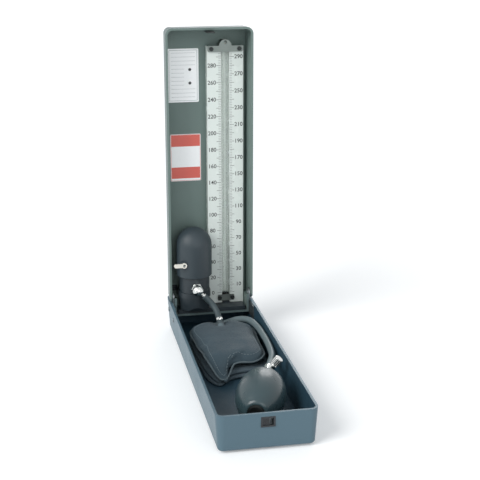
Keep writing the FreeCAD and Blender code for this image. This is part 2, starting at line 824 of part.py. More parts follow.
def foot_clamp():
    """Small cross-piece over the foot of the glass."""
    bar = box(manometer_x - foot_clamp_half, manometer_x + foot_clamp_half,
              plate_front - foot_clamp_sheet, plate_front, foot_clamp_low, foot_clamp_top)
    bar = bar.makeFillet(1.5, [e for e in bar.Edges if is_along_y(e)])
    for side in (-1, 1):
        x = manometer_x + side * foot_clamp_screw
        bar = bar.cut(rod(screw_radius, V(x, plate_front - foot_clamp_sheet - 1, foot_screw_z),
                          V(x, plate_front + 1, foot_screw_z)))
    return bar


def foot_clamp_screws():
    seat = plate_front - foot_clamp_sheet
    return Part.makeCompound([
        slotted_screw(manometer_x + side * foot_clamp_screw, foot_screw_z, seat)
        for side in (-1, 1)])


def tube_cap():
    """Turned cap that holds the glass down, with a vent hole over the leather disc."""
    top = arch_top - 1.0
    outline = [
        (0.6, cap_seat + vent_thickness), (cap_head_radius, cap_seat + vent_thickness),
        (cap_head_radius, top - 2.5),
        ((cap_head_radius - 0.8, top - 0.8), (cap_head_radius - 2.6, top)), (0.6, top),
    ]
    return revolve(outline, V(manometer_x, tube_y, 0))


def vent_disc():
    centre = V(manometer_x, tube_y, cap_seat)
    return Part.makeCylinder(cap_gasket_radius, vent_thickness, centre)


# ---- Mercury reservoir ----

cap_low = cup_top - cap_skirt
dome_base = cap_low + cap_cylinder
dome_top = dome_base + reservoir_radius


def reservoir_cup():
    """Iron cup that holds the mercury, with a hole in its floor over the passage."""
    inner = cup_radius - cup_wall
    outline = [
        (0, base_top), (cup_radius - 1, base_top), (cup_radius, base_top + 1),
        (cup_radius, cup_top), (inner, cup_top), (inner, base_top + cup_wall), (0, base_top + cup_wall),
    ]
    cup = revolve(outline, reservoir_axis)
    hole = rod(passage_radius, V(reservoir_x, passage_y, base_top - 1),
               V(reservoir_x, passage_y, base_top + cup_wall + 1))
    neck = rod(outlet_stub_radius + press_gap, V(reservoir_x, reservoir_y, outlet_height),
               V(reservoir_x, reservoir_y - cup_radius - 1, outlet_height))
    return inside_lid_floor(cup.cut([hole, neck]))


def reservoir_mercury():
    inner = cup_radius - cup_wall - 0.1
    low = base_top + cup_wall
    return Part.makeCylinder(inner, scale_zero - low, reservoir_axis + V(0, 0, low))


def reservoir_gasket():
    return ring_gasket(cup_top, cup_radius - 0.2, cup_radius - cup_wall, reservoir_x, reservoir_y)


tap_x = reservoir_x - tap_offset
tap_wall_y = reservoir_y - math.sqrt(reservoir_radius ** 2 - tap_offset ** 2)
tap_boss_y = tap_wall_y - tap_boss_reach
plug_end_y = tap_wall_y + 5.0


def reservoir_cap():
    """Domed moulded cap: its skirt slips over the cup, its step bears on the gasket."""
    inner = reservoir_radius - cap_wall
    skirt = cup_radius + fit_gap
    seat = cup_top + gasket_height
    bore = cup_radius - cup_wall
    slant = math.sqrt(0.5)
    outline = [
        (skirt, cap_low), (reservoir_radius - 0.6, cap_low), (reservoir_radius, cap_low + 0.6),
        (reservoir_radius, dome_base),
        ((reservoir_radius * slant, dome_base + reservoir_radius * slant), (0, dome_top)),
        (0, dome_top - cap_wall),
        ((inner * slant, dome_base + inner * slant), (inner, dome_base)),
        (inner, seat + 3), (bore, seat + 3), (bore, seat), (skirt, seat),
    ]
    cap = revolve(outline, reservoir_axis)
    boss = rod(tap_boss_radius, V(tap_x, tap_boss_y, tap_height), V(tap_x, plug_end_y + 1.5, tap_height))
    socket = rod(plug_radius + running_clearance, V(tap_x, tap_boss_y - 1, tap_height),
                 V(tap_x, plug_end_y + 0.2, tap_height))
    return cap.fuse(boss).cut(socket).removeSplitter()


def reservoir_strap():
    """Steel strap round the cup, with an ear on each side screwed to the lid's back panel."""
    z0 = strap_bottom
    z1 = strap_bottom + strap_height
    inner = cup_radius + 0.1
    outer = inner + strap_thickness
    round_part = tube(outer, inner, reservoir_axis + V(0, 0, z0), reservoir_axis + V(0, 0, z1))
    rear = box(reservoir_x - outer - 1, reservoir_x + outer + 1, reservoir_y, inner_back, z0, z1)
    strap = round_part.cut(rear)
    leg = box(reservoir_x + inner, reservoir_x + outer, reservoir_y, inner_back, z0, z1)
    ear = box(reservoir_x + inner, reservoir_x + outer + strap_ear, inner_back - strap_thickness,
              inner_back, z0, z1)
    hole = rod(screw_radius * 0.8, V(reservoir_x + outer + strap_ear / 2, inner_back - 3, (z0 + z1) / 2),
               V(reservoir_x + outer + strap_ear / 2, inner_back + 1, (z0 + z1) / 2))
    outward = leg.fuse(ear).cut(hole).mirror(reservoir_axis, X_AXIS)
    inward = ear.cut(hole).mirror(V(reservoir_x + (inner + outer) / 2, 0, 0), X_AXIS)
    return strap.fuse([outward, leg, inward]).removeSplitter()


def strap_screws():
    inner = cup_radius + 0.1
    outward = reservoir_x - inner - strap_thickness - strap_ear / 2
    inward = reservoir_x + inner - strap_ear / 2
    z = strap_bottom + strap_height / 2
    top = inner_back - strap_thickness
    screws = []
    for x in (outward, inward):
        shank = rod(screw_radius * 0.8, V(x, top, z), V(x, inner_back, z))
        screws.append(shank.fuse(rod(2.2, V(x, top - 1.2, z), V(x, top, z))))
    return Part.makeCompound(screws)


# ---- Air tap ----

def tap_plug():
    """Plug of the tap with a cross hole, its square end outside for the lever."""
    plug = rod(plug_radius, V(tap_x, lever_back_y, tap_height), V(tap_x, plug_end_y, tap_height))
    tongue = rod(plug_radius * 0.7, V(tap_x, lever_front_y + 0.8, tap_height),
                 V(tap_x, lever_back_y, tap_height))
    hole_y = plug_end_y - 2.0
    hole = rod(plug_hole, V(tap_x - 5, hole_y, tap_height), V(tap_x + 5, hole_y, tap_height))
    return plug.fuse(tongue).cut(hole)


lever_back_y = tap_boss_y - 0.2
lever_front_y = lever_back_y - lever_thickness


def shut_off_lever():
    hub = rod(lever_hub_radius, V(tap_x, lever_front_y, tap_height), V(tap_x, lever_back_y, tap_height))
    half = lever_height / 2
    arm = box(tap_x - lever_length, tap_x, lever_front_y, lever_back_y,
              tap_height - half, tap_height + half)
    arm = arm.makeFillet(half * 0.9, [e for e in arm.Edges if is_along_y(e) and e.BoundBox.XMin < tap_x - 1])
    lever = hub.fuse(arm)
    hole = rod(plug_radius * 0.7, V(tap_x, lever_front_y - 1, tap_height),
               V(tap_x, lever_back_y + 1, tap_height))
    return lever.cut(hole).removeSplitter()


def lever_screw():
    head = rod(plug_radius * 0.7 - 0.05, V(tap_x, lever_front_y, tap_height),
               V(tap_x, lever_front_y + 0.8, tap_height))
    slot = box(tap_x - 3, tap_x + 3, lever_front_y - 1, lever_front_y + 0.35,
               tap_height - 0.25, tap_height + 0.25)
    return head.cut(slot)


# ---- Air outlet ----

outlet_seat_y = reservoir_y - cup_radius
outlet_ball_y = outlet_seat_y - outlet_nut_length - outlet_ball_radius * 0.85
outlet_centre = V(reservoir_x, outlet_ball_y, outlet_height)
pitch = math.radians(nozzle_pitch)
yaw = math.radians(nozzle_yaw)
nozzle_heading = V(math.cos(pitch) * math.cos(yaw), math.cos(pitch) * math.sin(yaw), math.sin(pitch))
hose_on_nozzle = outlet_centre + nozzle_heading * (outlet_ball_radius + barb_start)


def barbed_nozzle(length, bore):
    """Hose nozzle along +Z from the origin: a collar, then three barbs."""
    outline = [(bore, -2), (nozzle_radius, -2), (nozzle_radius, 1.6), (3.4, 1.6), (3.4, 2.9),
               (nozzle_radius - 0.5, 2.9)]
    step = (length - barb_start) / 3
    for barb in range(3):
        z = barb_start + barb * step
        outline.append((hose_bore - 0.05, z + 0.5))
        outline.append((nozzle_radius - 0.5, z + step - 0.1))
    outline.append((nozzle_radius - 0.6, length))
    outline.append((bore, length))
    return revolve(outline)


def air_outlet():
    """Plated elbow: ball and stub on the cup's front, barbed nozzle down to the right."""
    radius = outlet_ball_radius
    neck = math.sqrt(radius ** 2 - outlet_stub_radius ** 2)
    stub_end = outlet_seat_y + 2.2 - outlet_ball_y
    slant = math.radians(-20)
    outline = [
        (0, -radius),
        ((radius * math.cos(slant), radius * math.sin(slant)), (outlet_stub_radius, neck)),
        (outlet_stub_radius, stub_end), (0, stub_end),
    ]
    ball = turned_to(revolve(outline), Y_AXIS, outlet_centre)
    nozzle = turned_to(barbed_nozzle(nozzle_length, nozzle_bore), nozzle_heading,
                       outlet_centre + nozzle_heading * radius)
    return ball.fuse(nozzle)


def outlet_nut():
    """Hexagon nut that draws the outlet up to the cup."""
    points = []
    for corner in range(7):
        angle = math.radians(60 * corner)
        points.append(V(outlet_nut_radius * math.cos(angle), outlet_nut_radius * math.sin(angle), 0))
    nut = Part.Face(Part.makePolygon(points)).extrude(V(0, 0, outlet_nut_length - 0.6))
    nut = nut.cut(Part.makeCylinder(outlet_stub_radius + press_gap, outlet_nut_length))
    placed = turned_to(nut, V(0, -1, 0), V(reservoir_x, outlet_seat_y - 0.1, outlet_height))
    room = Part.makeSphere(outlet_ball_radius + 0.02, outlet_centre)
    return placed.cut(room)


# ---- Cuff ----

cuff_far = back - cuff_start
cuff_near = front + cuff_front_room
cuff_left = wall + cuff_left_room - half_width
cuff_right = half_width - wall - cuff_right_room
cuff_low = tray_floor + floor_gap
cuff_top = cuff_low + cuff_height


def cuff_roll():
    """The folded cuff as a thick rounded slab, with a pocket for the bladder."""
    outline = rounded_outline(cuff_left, cuff_right, cuff_near, cuff_far, cuff_low,
                              cuff_near_radius, cuff_far_radius)
    slab = Part.Face(outline).extrude(V(0, 0, cuff_height))
    slab = slab.makeFillet(cuff_edge_radius, edges_at_height(slab, cuff_top))
    for route in (bulb_hose_points[-3:], cuff_tube_points):
        for start, end in zip(route, route[1:]):
            along = (end - start).normalize()
            slab = slab.cut(rod(hose_radius + floor_gap, start, end + along * floor_gap))
    return slab.cut(bladder_block(0.2))


def bladder_block(gap):
    inset = bladder_inset - gap
    middle = (cuff_low + cuff_top) / 2
    half = bladder_height / 2 + gap
    outline = rounded_outline(cuff_left + inset, cuff_right - inset, cuff_near + inset,
                              cuff_far - inset, middle - half, 4.0, cuff_far_radius - inset)
    return Part.Face(outline).extrude(V(0, 0, 2 * half))


def inflation_bladder():
    return bladder_block(0)


# ---- Bulb, valves and thumb-screw ----

bulb_low = tray_floor + floor_gap
bulb_centre = V(bulb_x, front + bulb_setback, bulb_low + bulb_radius)
turn = math.radians(bulb_turn)
bulb_heading = V(math.sin(turn), math.cos(turn), 0)
bulb_side = V(math.cos(turn), -math.sin(turn), 0)
tilt = math.radians(thumb_tilt)
thumb_heading = V(bulb_side.x * math.cos(tilt), bulb_side.y * math.cos(tilt), math.sin(tilt))
half_bulb = bulb_length / 2
half_egg = half_bulb + egg_over
neck_end = half_bulb + neck_length - 3.0
end_valve_low = -half_egg * math.sqrt(1 - ((end_valve_radius + 3) / bulb_radius) ** 2) - 1.45
valve_start = neck_end + 0.1
valve_end = valve_start + valve_length
thumb_at = bulb_centre + bulb_heading * (valve_start + thumb_seat)
knob_low = thumb_boss + thumb_gap


def along_bulb(shape):
    return turned_to(shape, bulb_heading, bulb_centre)


def ellipse_arc(radius, half_length, from_radius, to_radius):
    """Meridian of an egg, from from_radius at its upper end to to_radius at its lower end."""
    egg = Part.Ellipse(V(0, 0, half_length), V(radius, 0, 0), V(0, 0, 0))
    start = math.asin(from_radius / radius)
    end = math.pi - math.asin(to_radius / radius)
    return Part.ArcOfEllipse(egg, start, end).toShape()


def egg_height(radius, half_length, at_radius):
    return half_length * math.sqrt(1 - (at_radius / radius) ** 2)


def squeeze_bulb():
    """Rubber bulb: an egg with a neck at the valve end and a round mouth at the other."""
    inner = bulb_radius - bulb_wall
    inner_half = half_egg - bulb_wall
    mouth = end_valve_radius
    lip = mouth + 3
    shoulder = egg_height(bulb_radius, half_egg, neck_radius)
    inner_shoulder = egg_height(inner, inner_half, neck_bore)
    mouth_out = -egg_height(bulb_radius, half_egg, lip)
    mouth_in = -egg_height(inner, inner_half, mouth)
    straight = [
        (V(lip, 0, mouth_out), V(mouth, 0, mouth_out)),
        (V(mouth, 0, mouth_out), V(mouth, 0, mouth_in)),
        (V(neck_bore, 0, inner_shoulder), V(neck_bore, 0, neck_end)),
        (V(neck_bore, 0, neck_end), V(neck_radius, 0, neck_end)),
        (V(neck_radius, 0, neck_end), V(neck_radius, 0, shoulder)),
    ]
    edges = [Part.LineSegment(start, end).toShape() for start, end in straight]
    edges.append(ellipse_arc(bulb_radius, half_egg, neck_radius, lip))
    edges.append(ellipse_arc(inner, inner_half, neck_bore, mouth))
    profile = Part.Wire(Part.__sortEdges__(edges))
    return along_bulb(Part.Face(profile).revolve(V(0, 0, 0), Z_AXIS, 360))


def end_valve_body():
    """Inlet valve in the bulb's far mouth: a plug with a seat and a cage for its ball."""
    low = end_valve_low
    high = low + end_valve_length
    seat = low + end_valve_seat
    cage = ball_radius + ball_cage_gap
    room = seat + ball_rest + 2 * ball_radius + ball_travel + ball_cage_gap
    outline = [
        (0.9, low), (end_valve_radius - 0.6, low), (end_valve_radius + 1.6, low + 0.5),
        (end_valve_radius + 1.6, low + 1.4), (end_valve_radius - 0.05, low + 1.4),
        (end_valve_radius - 0.05, high), (0.9, high), (0.9, room), (cage, room),
        (cage, seat + ball_seat_depth), (0.9, seat),
    ]
    return along_bulb(revolve(outline))


def ball_at(distance):
    return Part.makeSphere(ball_radius, bulb_centre + bulb_heading * distance)


end_ball_at = end_valve_low + end_valve_seat + ball_rest + ball_radius
outlet_ball_at = valve_start + outlet_valve_seat + ball_rest + ball_radius


def valve_body():
    """Plated body: spigot in the bulb's neck, ball cage, side boss for the thumb-screw."""
    cage = ball_radius + ball_cage_gap
    seat = valve_start + outlet_valve_seat
    room = seat + ball_rest + 2 * ball_radius + ball_travel + ball_cage_gap
    outline = [
        (valve_bore, valve_start - valve_spigot), (neck_bore - 0.05, valve_start - valve_spigot),
        (neck_bore - 0.05, valve_start), (valve_radius, valve_start), (valve_radius, valve_end),
        (nozzle_radius, valve_end), (nozzle_radius, valve_end + 0.5), (valve_bore * 0.8, valve_end + 0.5),
        (valve_bore * 0.8, room), (cage, room), (cage, seat + ball_seat_depth),
        (valve_bore * 0.7, seat),
        (valve_bore * 0.7, seat - 0.5), (valve_bore, seat - 1.0),
    ]
    body = along_bulb(revolve(outline))
    boss = rod(thumb_boss_radius, thumb_at + thumb_heading * 3.5, thumb_at + thumb_heading * thumb_boss)
    body = body.fuse(boss)
    screw_hole = rod(thumb_stem_radius + running_clearance, thumb_at + thumb_heading * needle_seat,
                     thumb_at + thumb_heading * (thumb_boss + 1))
    needle_hole = rod(needle_bore, thumb_at, thumb_at + thumb_heading * (needle_seat + 1))
    return body.cut([screw_hole, needle_hole])


def hose_nipple():
    """Barbed tail on the valve body for the bulb's hose."""
    nipple = barbed_nozzle(nipple_length, nozzle_bore)
    nipple = nipple.cut(rod(valve_radius, V(0, 0, -nipple_length), V(0, 0, 0)))
    return along_bulb(shifted(nipple, valve_end + 0.55))


def shifted(shape, distance):
    moved = shape.copy()
    moved.translate(V(0, 0, distance))
    return moved


needle_share = (needle_bore - needle_tip_radius) / (thumb_stem_radius - needle_tip_radius)
needle_low = needle_seat + needle_travel + needle_cone * (1 - needle_share) + needle_clearance


def thumb_needle():
    """Valve needle: the part of the thumb-screw that only travels. It stands one travel
    off its seat."""
    outline = [
        (0, needle_low - needle_cone - 0.2), (needle_tip_radius, needle_low - needle_cone),
        (thumb_stem_radius, needle_low), (thumb_stem_radius, needle_low + needle_shank),
        (0, needle_low + needle_shank),
    ]
    return turned_to(revolve(outline), thumb_heading, thumb_at)


def thumb_screw():
    """Knurled thumb-screw: stem in the boss, fluted knob outside."""
    stem_low = needle_low + needle_shank + running_clearance
    stem = Part.makeCylinder(thumb_stem_radius, knob_low - stem_low + 0.5, V(0, 0, stem_low))
    knob = Part.makeCylinder(thumb_radius, thumb_length, V(0, 0, knob_low))
    knob = knob.makeFillet(0.7, [knob.Edges[0], knob.Edges[2]])
    flutes = []
    for number in range(flute_count):
        angle = 2 * math.pi * number / flute_count
        x = (thumb_radius + 0.25) * math.cos(angle)
        y = (thumb_radius + 0.25) * math.sin(angle)
        flutes.append(Part.makeCylinder(flute_radius, thumb_length + 2, V(x, y, knob_low - 1)))
    knob = knob.cut(flutes)
    return turned_to(knob.fuse(stem), thumb_heading, thumb_at)


# ---- Hoses ----

nipple_hose_start = bulb_centre + bulb_heading * (valve_end + 0.55 + barb_start)

beside_cuff_start = V(40.4, front + 158, 31.0)
beside_cuff_end = V(41.4, back - 99, 31.2)

bulb_hose_points = [
    nipple_hose_start,
    nipple_hose_start + bulb_heading * 16,
    beside_cuff_start,
    (beside_cuff_start + beside_cuff_end) / 2 + V(1.5, 0, 0.7),
    beside_cuff_end,
    V(35.5, back - 71, 30.0),
    V(20.0, back - 54.0, 22.5),
    V(1.0, back - 51.0, 12.5),
    V(-17.0, back - 56.0, 10.5),
    V(-27.0, back - 68.5, 10.5),
]

connector_middle = V(1.9, back - 74.3, 31.3)
connector_heading = V(0.05, -0.87, -0.49).normalize()
connector_grip = 2.0          # half the length of its grip ring
connector_half = 5.5          # half its whole length

manometer_hose_points = [
    hose_on_nozzle,
    hose_on_nozzle + nozzle_heading * 9.0,
    V(-1.6, back - 58.3, 42.6),
    connector_middle - connector_heading * (connector_grip + 9.1),
    connector_middle - connector_heading * (connector_grip + 0.1),
]

cuff_tube_points = [
    connector_middle + connector_heading * (connector_grip + 0.1),
    connector_middle + connector_heading * 13,
    connector_middle + connector_heading * 22 + V(0, 0.6, -0.9),
]


def cuff_connector():
    """Plated joint between the two hoses: a grip ring with a barbed tail each way."""
    half = connector_half
    grip = connector_grip
    tail = nozzle_radius - 0.3
    barb = hose_bore - 0.05
    outline = [
        (nozzle_bore, -half), (tail, -half), (barb, 0.6 - half + 1.4), (tail, 1.0 - half + 1.4),
        (tail, -grip), (hose_radius + 0.2, -grip), (hose_radius + 0.8, 0.6 - grip),
        (hose_radius + 0.8, grip - 0.6), (hose_radius + 0.2, grip), (tail, grip),
        (tail, half - 2.4), (barb, half - 2.0), (tail, half), (nozzle_bore, half),
    ]
    return turned_to(revolve(outline), connector_heading, connector_middle)


pieces = {
    "tray_shell": tray_shell,
    "rubber_feet": rubber_feet,
    "hinge_bracket_right": hinge_bracket,
    "hinge_pins": hinge_pins,
    "hinge_washers": hinge_washers,
    "hinge_rivets": hinge_rivets,
    "latch_bezel": latch_bezel,
    "latch_guide": latch_guide,
    "latch_screws": latch_screws,
    "latch_slide": latch_slide,
    "lid_shell": lid_shell,
    "lid_striker": lid_striker,
    "striker_screws": striker_screws,
    "scale_plate": scale_plate,
    "glass_tube": glass_tube,
    "mercury_column": mercury_column,
    "manometer_base": manometer_base,
    "tube_clamp": tube_clamp,
    "clamp_screws": clamp_screws,
    "foot_clamp": foot_clamp,
    "foot_clamp_screws": foot_clamp_screws,
    "tube_cap": tube_cap,
    "vent_disc": vent_disc,
    "reservoir_cup": reservoir_cup,
    "reservoir_mercury": reservoir_mercury,
    "reservoir_gasket": reservoir_gasket,
    "reservoir_cap": reservoir_cap,
    "reservoir_strap": reservoir_strap,
    "strap_screws": strap_screws,
    "tap_plug": tap_plug,
    "shut_off_lever": shut_off_lever,
    "lever_screw": lever_screw,
    "air_outlet": air_outlet,
    "outlet_nut": outlet_nut,
    "cuff_roll": cuff_roll,
    "inflation_bladder": inflation_bladder,
    "cuff_connector": cuff_connector,
    "squeeze_bulb": squeeze_bulb,
    "end_valve_body": end_valve_body,
    "valve_body": valve_body,
    "hose_nipple": hose_nipple,
    "thumb_needle": thumb_needle,
    "thumb_screw": thumb_screw,
}

os.makedirs("parts", exist_ok=True)
for name, make in pieces.items():
    export(name, make())
export("hinge_bracket_left", hinge_bracket().mirror(V(0, 0, 0), X_AXIS))
export("tube_bottom_gasket", ring_gasket(tube_seat, seal_radius, tube_bore, manometer_x, tube_y))
export("tube_top_gasket", ring_gasket(tube_top, cap_gasket_radius, tube_bore, manometer_x, tube_y))
export("end_valve_ball", ball_at(end_ball_at))
export("outlet_valve_ball", ball_at(outlet_ball_at))
export("bulb_hose", hose_tube("bulb_hose", bulb_hose_points, hose_radius, hose_bore))
export("manometer_hose", hose_tube("manometer_hose", manometer_hose_points, hose_radius, hose_bore))
export("cuff_tube", hose_tube("cuff_tube", cuff_tube_points, hose_radius, hose_bore))
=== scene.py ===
"""Desk mercury sphygmomanometer, dressed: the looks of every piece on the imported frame.

Metres, +Z up, +X right, the tray's front towards -Y, the lid standing open at the back.
"""
import math

import bpy
import numpy as np
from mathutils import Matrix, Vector


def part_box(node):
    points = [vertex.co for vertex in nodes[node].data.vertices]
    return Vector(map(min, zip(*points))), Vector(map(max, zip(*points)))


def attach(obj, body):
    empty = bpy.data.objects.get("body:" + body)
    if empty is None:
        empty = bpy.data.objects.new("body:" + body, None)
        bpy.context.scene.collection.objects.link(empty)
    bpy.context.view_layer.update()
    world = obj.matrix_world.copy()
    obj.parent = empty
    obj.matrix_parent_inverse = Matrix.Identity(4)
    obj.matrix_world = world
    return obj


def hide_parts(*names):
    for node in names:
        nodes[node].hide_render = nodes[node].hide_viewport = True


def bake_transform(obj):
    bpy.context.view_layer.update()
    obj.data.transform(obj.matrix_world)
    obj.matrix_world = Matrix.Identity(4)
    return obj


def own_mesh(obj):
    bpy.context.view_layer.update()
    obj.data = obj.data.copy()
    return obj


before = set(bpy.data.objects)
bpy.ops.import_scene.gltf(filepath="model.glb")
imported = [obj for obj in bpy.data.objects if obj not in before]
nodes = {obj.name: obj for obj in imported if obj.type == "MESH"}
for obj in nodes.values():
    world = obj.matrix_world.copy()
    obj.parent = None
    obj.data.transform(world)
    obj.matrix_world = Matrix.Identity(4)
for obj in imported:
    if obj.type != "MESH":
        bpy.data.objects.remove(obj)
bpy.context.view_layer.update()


# ======== Camera ========
# Stands a little over a metre in front of the case, left of it and above it,
# and looks down at the middle of the open instrument.

camera_azimuth = -11.192
camera_elevation = 16.854
camera_distance = 1.2958
camera_aim = (0.02904, 0.112, 0.12307)
focal_in_frame_widths = 2.33
sensor_width = 36.0

azimuth = math.radians(camera_azimuth)
elevation = math.radians(camera_elevation)
backwards = Vector((math.sin(azimuth) * math.cos(elevation),
                    -math.cos(azimuth) * math.cos(elevation),
                    math.sin(elevation)))
camera = bpy.data.objects.new("camera", bpy.data.cameras.new("camera"))
bpy.context.scene.collection.objects.link(camera)
camera.data.sensor_width = sensor_width
camera.data.lens = focal_in_frame_widths * sensor_width
camera.data.clip_start = 0.05
camera.data.clip_end = 30
camera.location = Vector(camera_aim) + backwards * camera_distance
camera.rotation_mode = "QUATERNION"
camera.rotation_quaternion = (-backwards).to_track_quat("-Z", "Y")
bpy.context.scene.camera = camera


# ======== Floor, room and lamps ========
# A plain white sweep under soft studio light: a broad key from the left, a fill from the
# front, a low light from behind, and an even pale room all round.

floor_half = 9.0
floor_glow = 0.20
floor_level = -0.0002
room_tint = (0.93, 0.97, 1.0, 1)
room_strength = 0.50


def colour(red, green, blue):
    """Linear colour of a shade given as 0 to 255 on a screen."""
    shade = np.array([red, green, blue]) / 255
    linear = np.where(shade <= 0.04045, shade / 12.92, ((shade + 0.055) / 1.055) ** 2.4)
    return (*[float(channel) for channel in linear], 1.0)


def mesh_piece(name, points, faces, body=None, material=None, smooth=True):
    """Object at the origin with its place in its mesh, riding on a body of the frame."""
    mesh = bpy.data.meshes.new(name)
    mesh.from_pydata(np.asarray(points).tolist(), [], [list(map(int, face)) for face in faces])
    mesh.validate()
    mesh.update()
    mesh.polygons.foreach_set("use_smooth", np.full(len(mesh.polygons), smooth))
    piece = bpy.data.objects.new(name, mesh)
    bpy.context.scene.collection.objects.link(piece)
    if material:
        mesh.materials.append(material)
    if body:
        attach(piece, body)
    return piece


def new_material(name):
    """Empty material with a Principled BSDF; gives the material, its tree and the shader."""
    material = bpy.data.materials.new(name)
    material.use_nodes = True
    tree = material.node_tree
    return material, tree, tree.nodes["Principled BSDF"]


def feed(tree, node, inputs):
    """Give a node's inputs, by name or number, their values or the sockets that feed them."""
    for key, value in inputs.items():
        if isinstance(value, bpy.types.NodeSocket):
            tree.links.new(value, node.inputs[key])
        else:
            node.inputs[key].default_value = value
    return node


def add_node(tree, kind, inputs=None, **settings):
    """New shader node with its own settings and its inputs."""
    node = tree.nodes.new("ShaderNode" + kind)
    for name, value in settings.items():
        setattr(node, name, value)
    return feed(tree, node, inputs or {})


def maths(tree, operation, *values):
    """Result of a Math node on sockets or numbers."""
    return add_node(tree, "Math", dict(enumerate(values)), operation=operation).outputs[0]


def seen_directly(tree):
    """1 for rays that come from the camera, a reflection or through glass, 0 for lighting rays."""
    ray = add_node(tree, "LightPath").outputs
    either = maths(tree, "MAXIMUM", ray["Is Camera Ray"], ray["Is Glossy Ray"])
    return maths(tree, "MAXIMUM", either, ray["Is Transmission Ray"])


def broad_lamp(name, towards, strength, spread, tint=(1, 1, 1)):
    """Even light from far off in the direction of towards, from a disc spread degrees wide."""
    lamp = bpy.data.lights.new(name, "SUN")
    lamp.energy = strength
    lamp.angle = math.radians(spread)
    lamp.color = tint
    holder = bpy.data.objects.new(name, lamp)
    bpy.context.scene.collection.objects.link(holder)
    holder.rotation_mode = "QUATERNION"
    holder.rotation_quaternion = Vector(towards).to_track_quat("Z", "Y")


floor_material, tree, shader = new_material("white_sweep")
feed(tree, shader, {"Base Color": colour(244, 245, 246), "Roughness": 0.9,
                    "Specular IOR Level": 0.0, "Emission Color": (1, 1, 1, 1),
                    "Emission Strength": maths(tree, "MULTIPLY", seen_directly(tree), floor_glow)})
corners = [(x * floor_half, y * floor_half, floor_level)
           for x, y in ((-1, -1), (1, -1), (1, 1), (-1, 1))]
floor = mesh_piece("floor", corners, [(0, 1, 2, 3)], material=floor_material)

world = bpy.data.worlds.new("room")
world.use_nodes = True
bpy.context.scene.world = world
tree = world.node_tree
room = feed(tree, tree.nodes["Background"], {"Color": room_tint, "Strength": room_strength})
white = add_node(tree, "Background", {"Color": (1, 1, 1, 1), "Strength": 1.0})
mix = add_node(tree, "MixShader",
               {"Fac": seen_directly(tree), 1: room.outputs[0], 2: white.outputs[0]})
feed(tree, tree.nodes["World Output"], {"Surface": mix.outputs[0]})

broad_lamp("key_left", (-0.80, -0.44, 0.68), 2.2, 34, (1.0, 0.99, 0.97))
broad_lamp("fill_front", (0.20, -0.93, 0.32), 0.60, 40)
broad_lamp("low_behind", (0.33, 0.86, 0.36), 0.45, 22)
bpy.context.scene.view_settings.view_transform = "Standard"


# ======== Shared finishes ========
# What more than one finish needs: uneven tone, uneven gloss and a fine grain,
# each worked out from where a point lies on the instrument.

ripple_scale = 90.0
ripple_share = 0.3
socket_kinds = {1: "NodeSocketFloat", 3: "NodeSocketVector", 4: "NodeSocketColor"}


def node_group(name, output, numbers, **inputs):
    """Empty group: its tree, its inputs and its one output, of that many numbers.

    The inputs' kinds follow from how many numbers their values have.
    """
    tree = bpy.data.node_groups.new(name, "ShaderNodeTree")
    for socket, value in inputs.items():
        made = tree.interface.new_socket(name=socket, in_out="INPUT",
                                         socket_type=socket_kinds[np.size(value)])
        made.default_value = value
    tree.interface.new_socket(name=output, in_out="OUTPUT", socket_type=socket_kinds[numbers])
    return (tree, tree.nodes.new("NodeGroupInput").outputs,
            tree.nodes.new("NodeGroupOutput").inputs[0])


def noise_at(tree, scale, detail, stretch=(1, 1, 1)):
    """Noise on Object coordinates; stretch squeezes it along each axis."""
    place = add_node(tree, "TexCoord").outputs["Object"]
    mapped = add_node(tree, "Mapping", {"Vector": place, "Scale": stretch}).outputs["Vector"]
    noise = add_node(tree, "TexNoise", {"Vector": mapped, "Scale": scale, "Detail": detail})
    return noise.outputs["Fac"]


def scaled(tree, base, factor):
    """A colour times a factor."""
    return add_node(tree, "VectorMath", {0: base, "Scale": factor}, operation="SCALE").outputs[0]


def make_tone():
    """Colour that drifts lighter and darker: base times 1 plus amount times (noise less half)."""
    tree, given, out = node_group("uneven_tone", "Color", 4, Base=(0.5, 0.5, 0.5, 1), Amount=0.1,
                                  Scale=60.0)
    centred = maths(tree, "SUBTRACT", noise_at(tree, given["Scale"], 4), 0.5)
    swing = maths(tree, "MULTIPLY_ADD", centred, given["Amount"], 1.0)
    tree.links.new(scaled(tree, given["Base"], swing), out)
    return tree


def make_gloss():
    """Roughness between two values in soft patches, as handling leaves it."""
    tree, given, out = node_group("uneven_gloss", "Roughness", 1, Smooth=0.3, Rough=0.5,
                                  Scale=60.0)
    between = add_node(tree, "MapRange", {
        "Value": noise_at(tree, given["Scale"], 5), "From Min": 0.35, "From Max": 0.65,
        "To Min": given["Smooth"], "To Max": given["Rough"]})
    tree.links.new(between.outputs["Result"], out)
    return tree


def make_grain():
    """Height of a fine moulded or cast grain, with a coarser ripple under it."""
    tree, given, out = node_group("fine_grain", "Height", 1, Scale=1500.0)
    fine = noise_at(tree, given["Scale"], 2)
    ripple = noise_at(tree, ripple_scale, 3)
    tree.links.new(maths(tree, "MULTIPLY_ADD", ripple, ripple_share, fine), out)
    return tree


def make_facing():
    """1 where a face looks towards a given middle point, 0 where it looks away from it.

    That is the sign of the dot product of the face's direction and the way to the middle.
    """
    tree, given, out = node_group("faces_middle", "Mask", 1, Middle=(0, 0, 0))
    place = add_node(tree, "TexCoord").outputs
    way = add_node(tree, "VectorMath", {0: given["Middle"], 1: place["Object"]},
                   operation="SUBTRACT")
    along = add_node(tree, "VectorMath", {0: way.outputs["Vector"], 1: place["Normal"]},
                     operation="DOT_PRODUCT")
    tree.links.new(maths(tree, "GREATER_THAN", along.outputs["Value"], 0.0), out)
    return tree


uneven_tone = make_tone()
uneven_gloss = make_gloss()
fine_grain = make_grain()
faces_middle = make_facing()


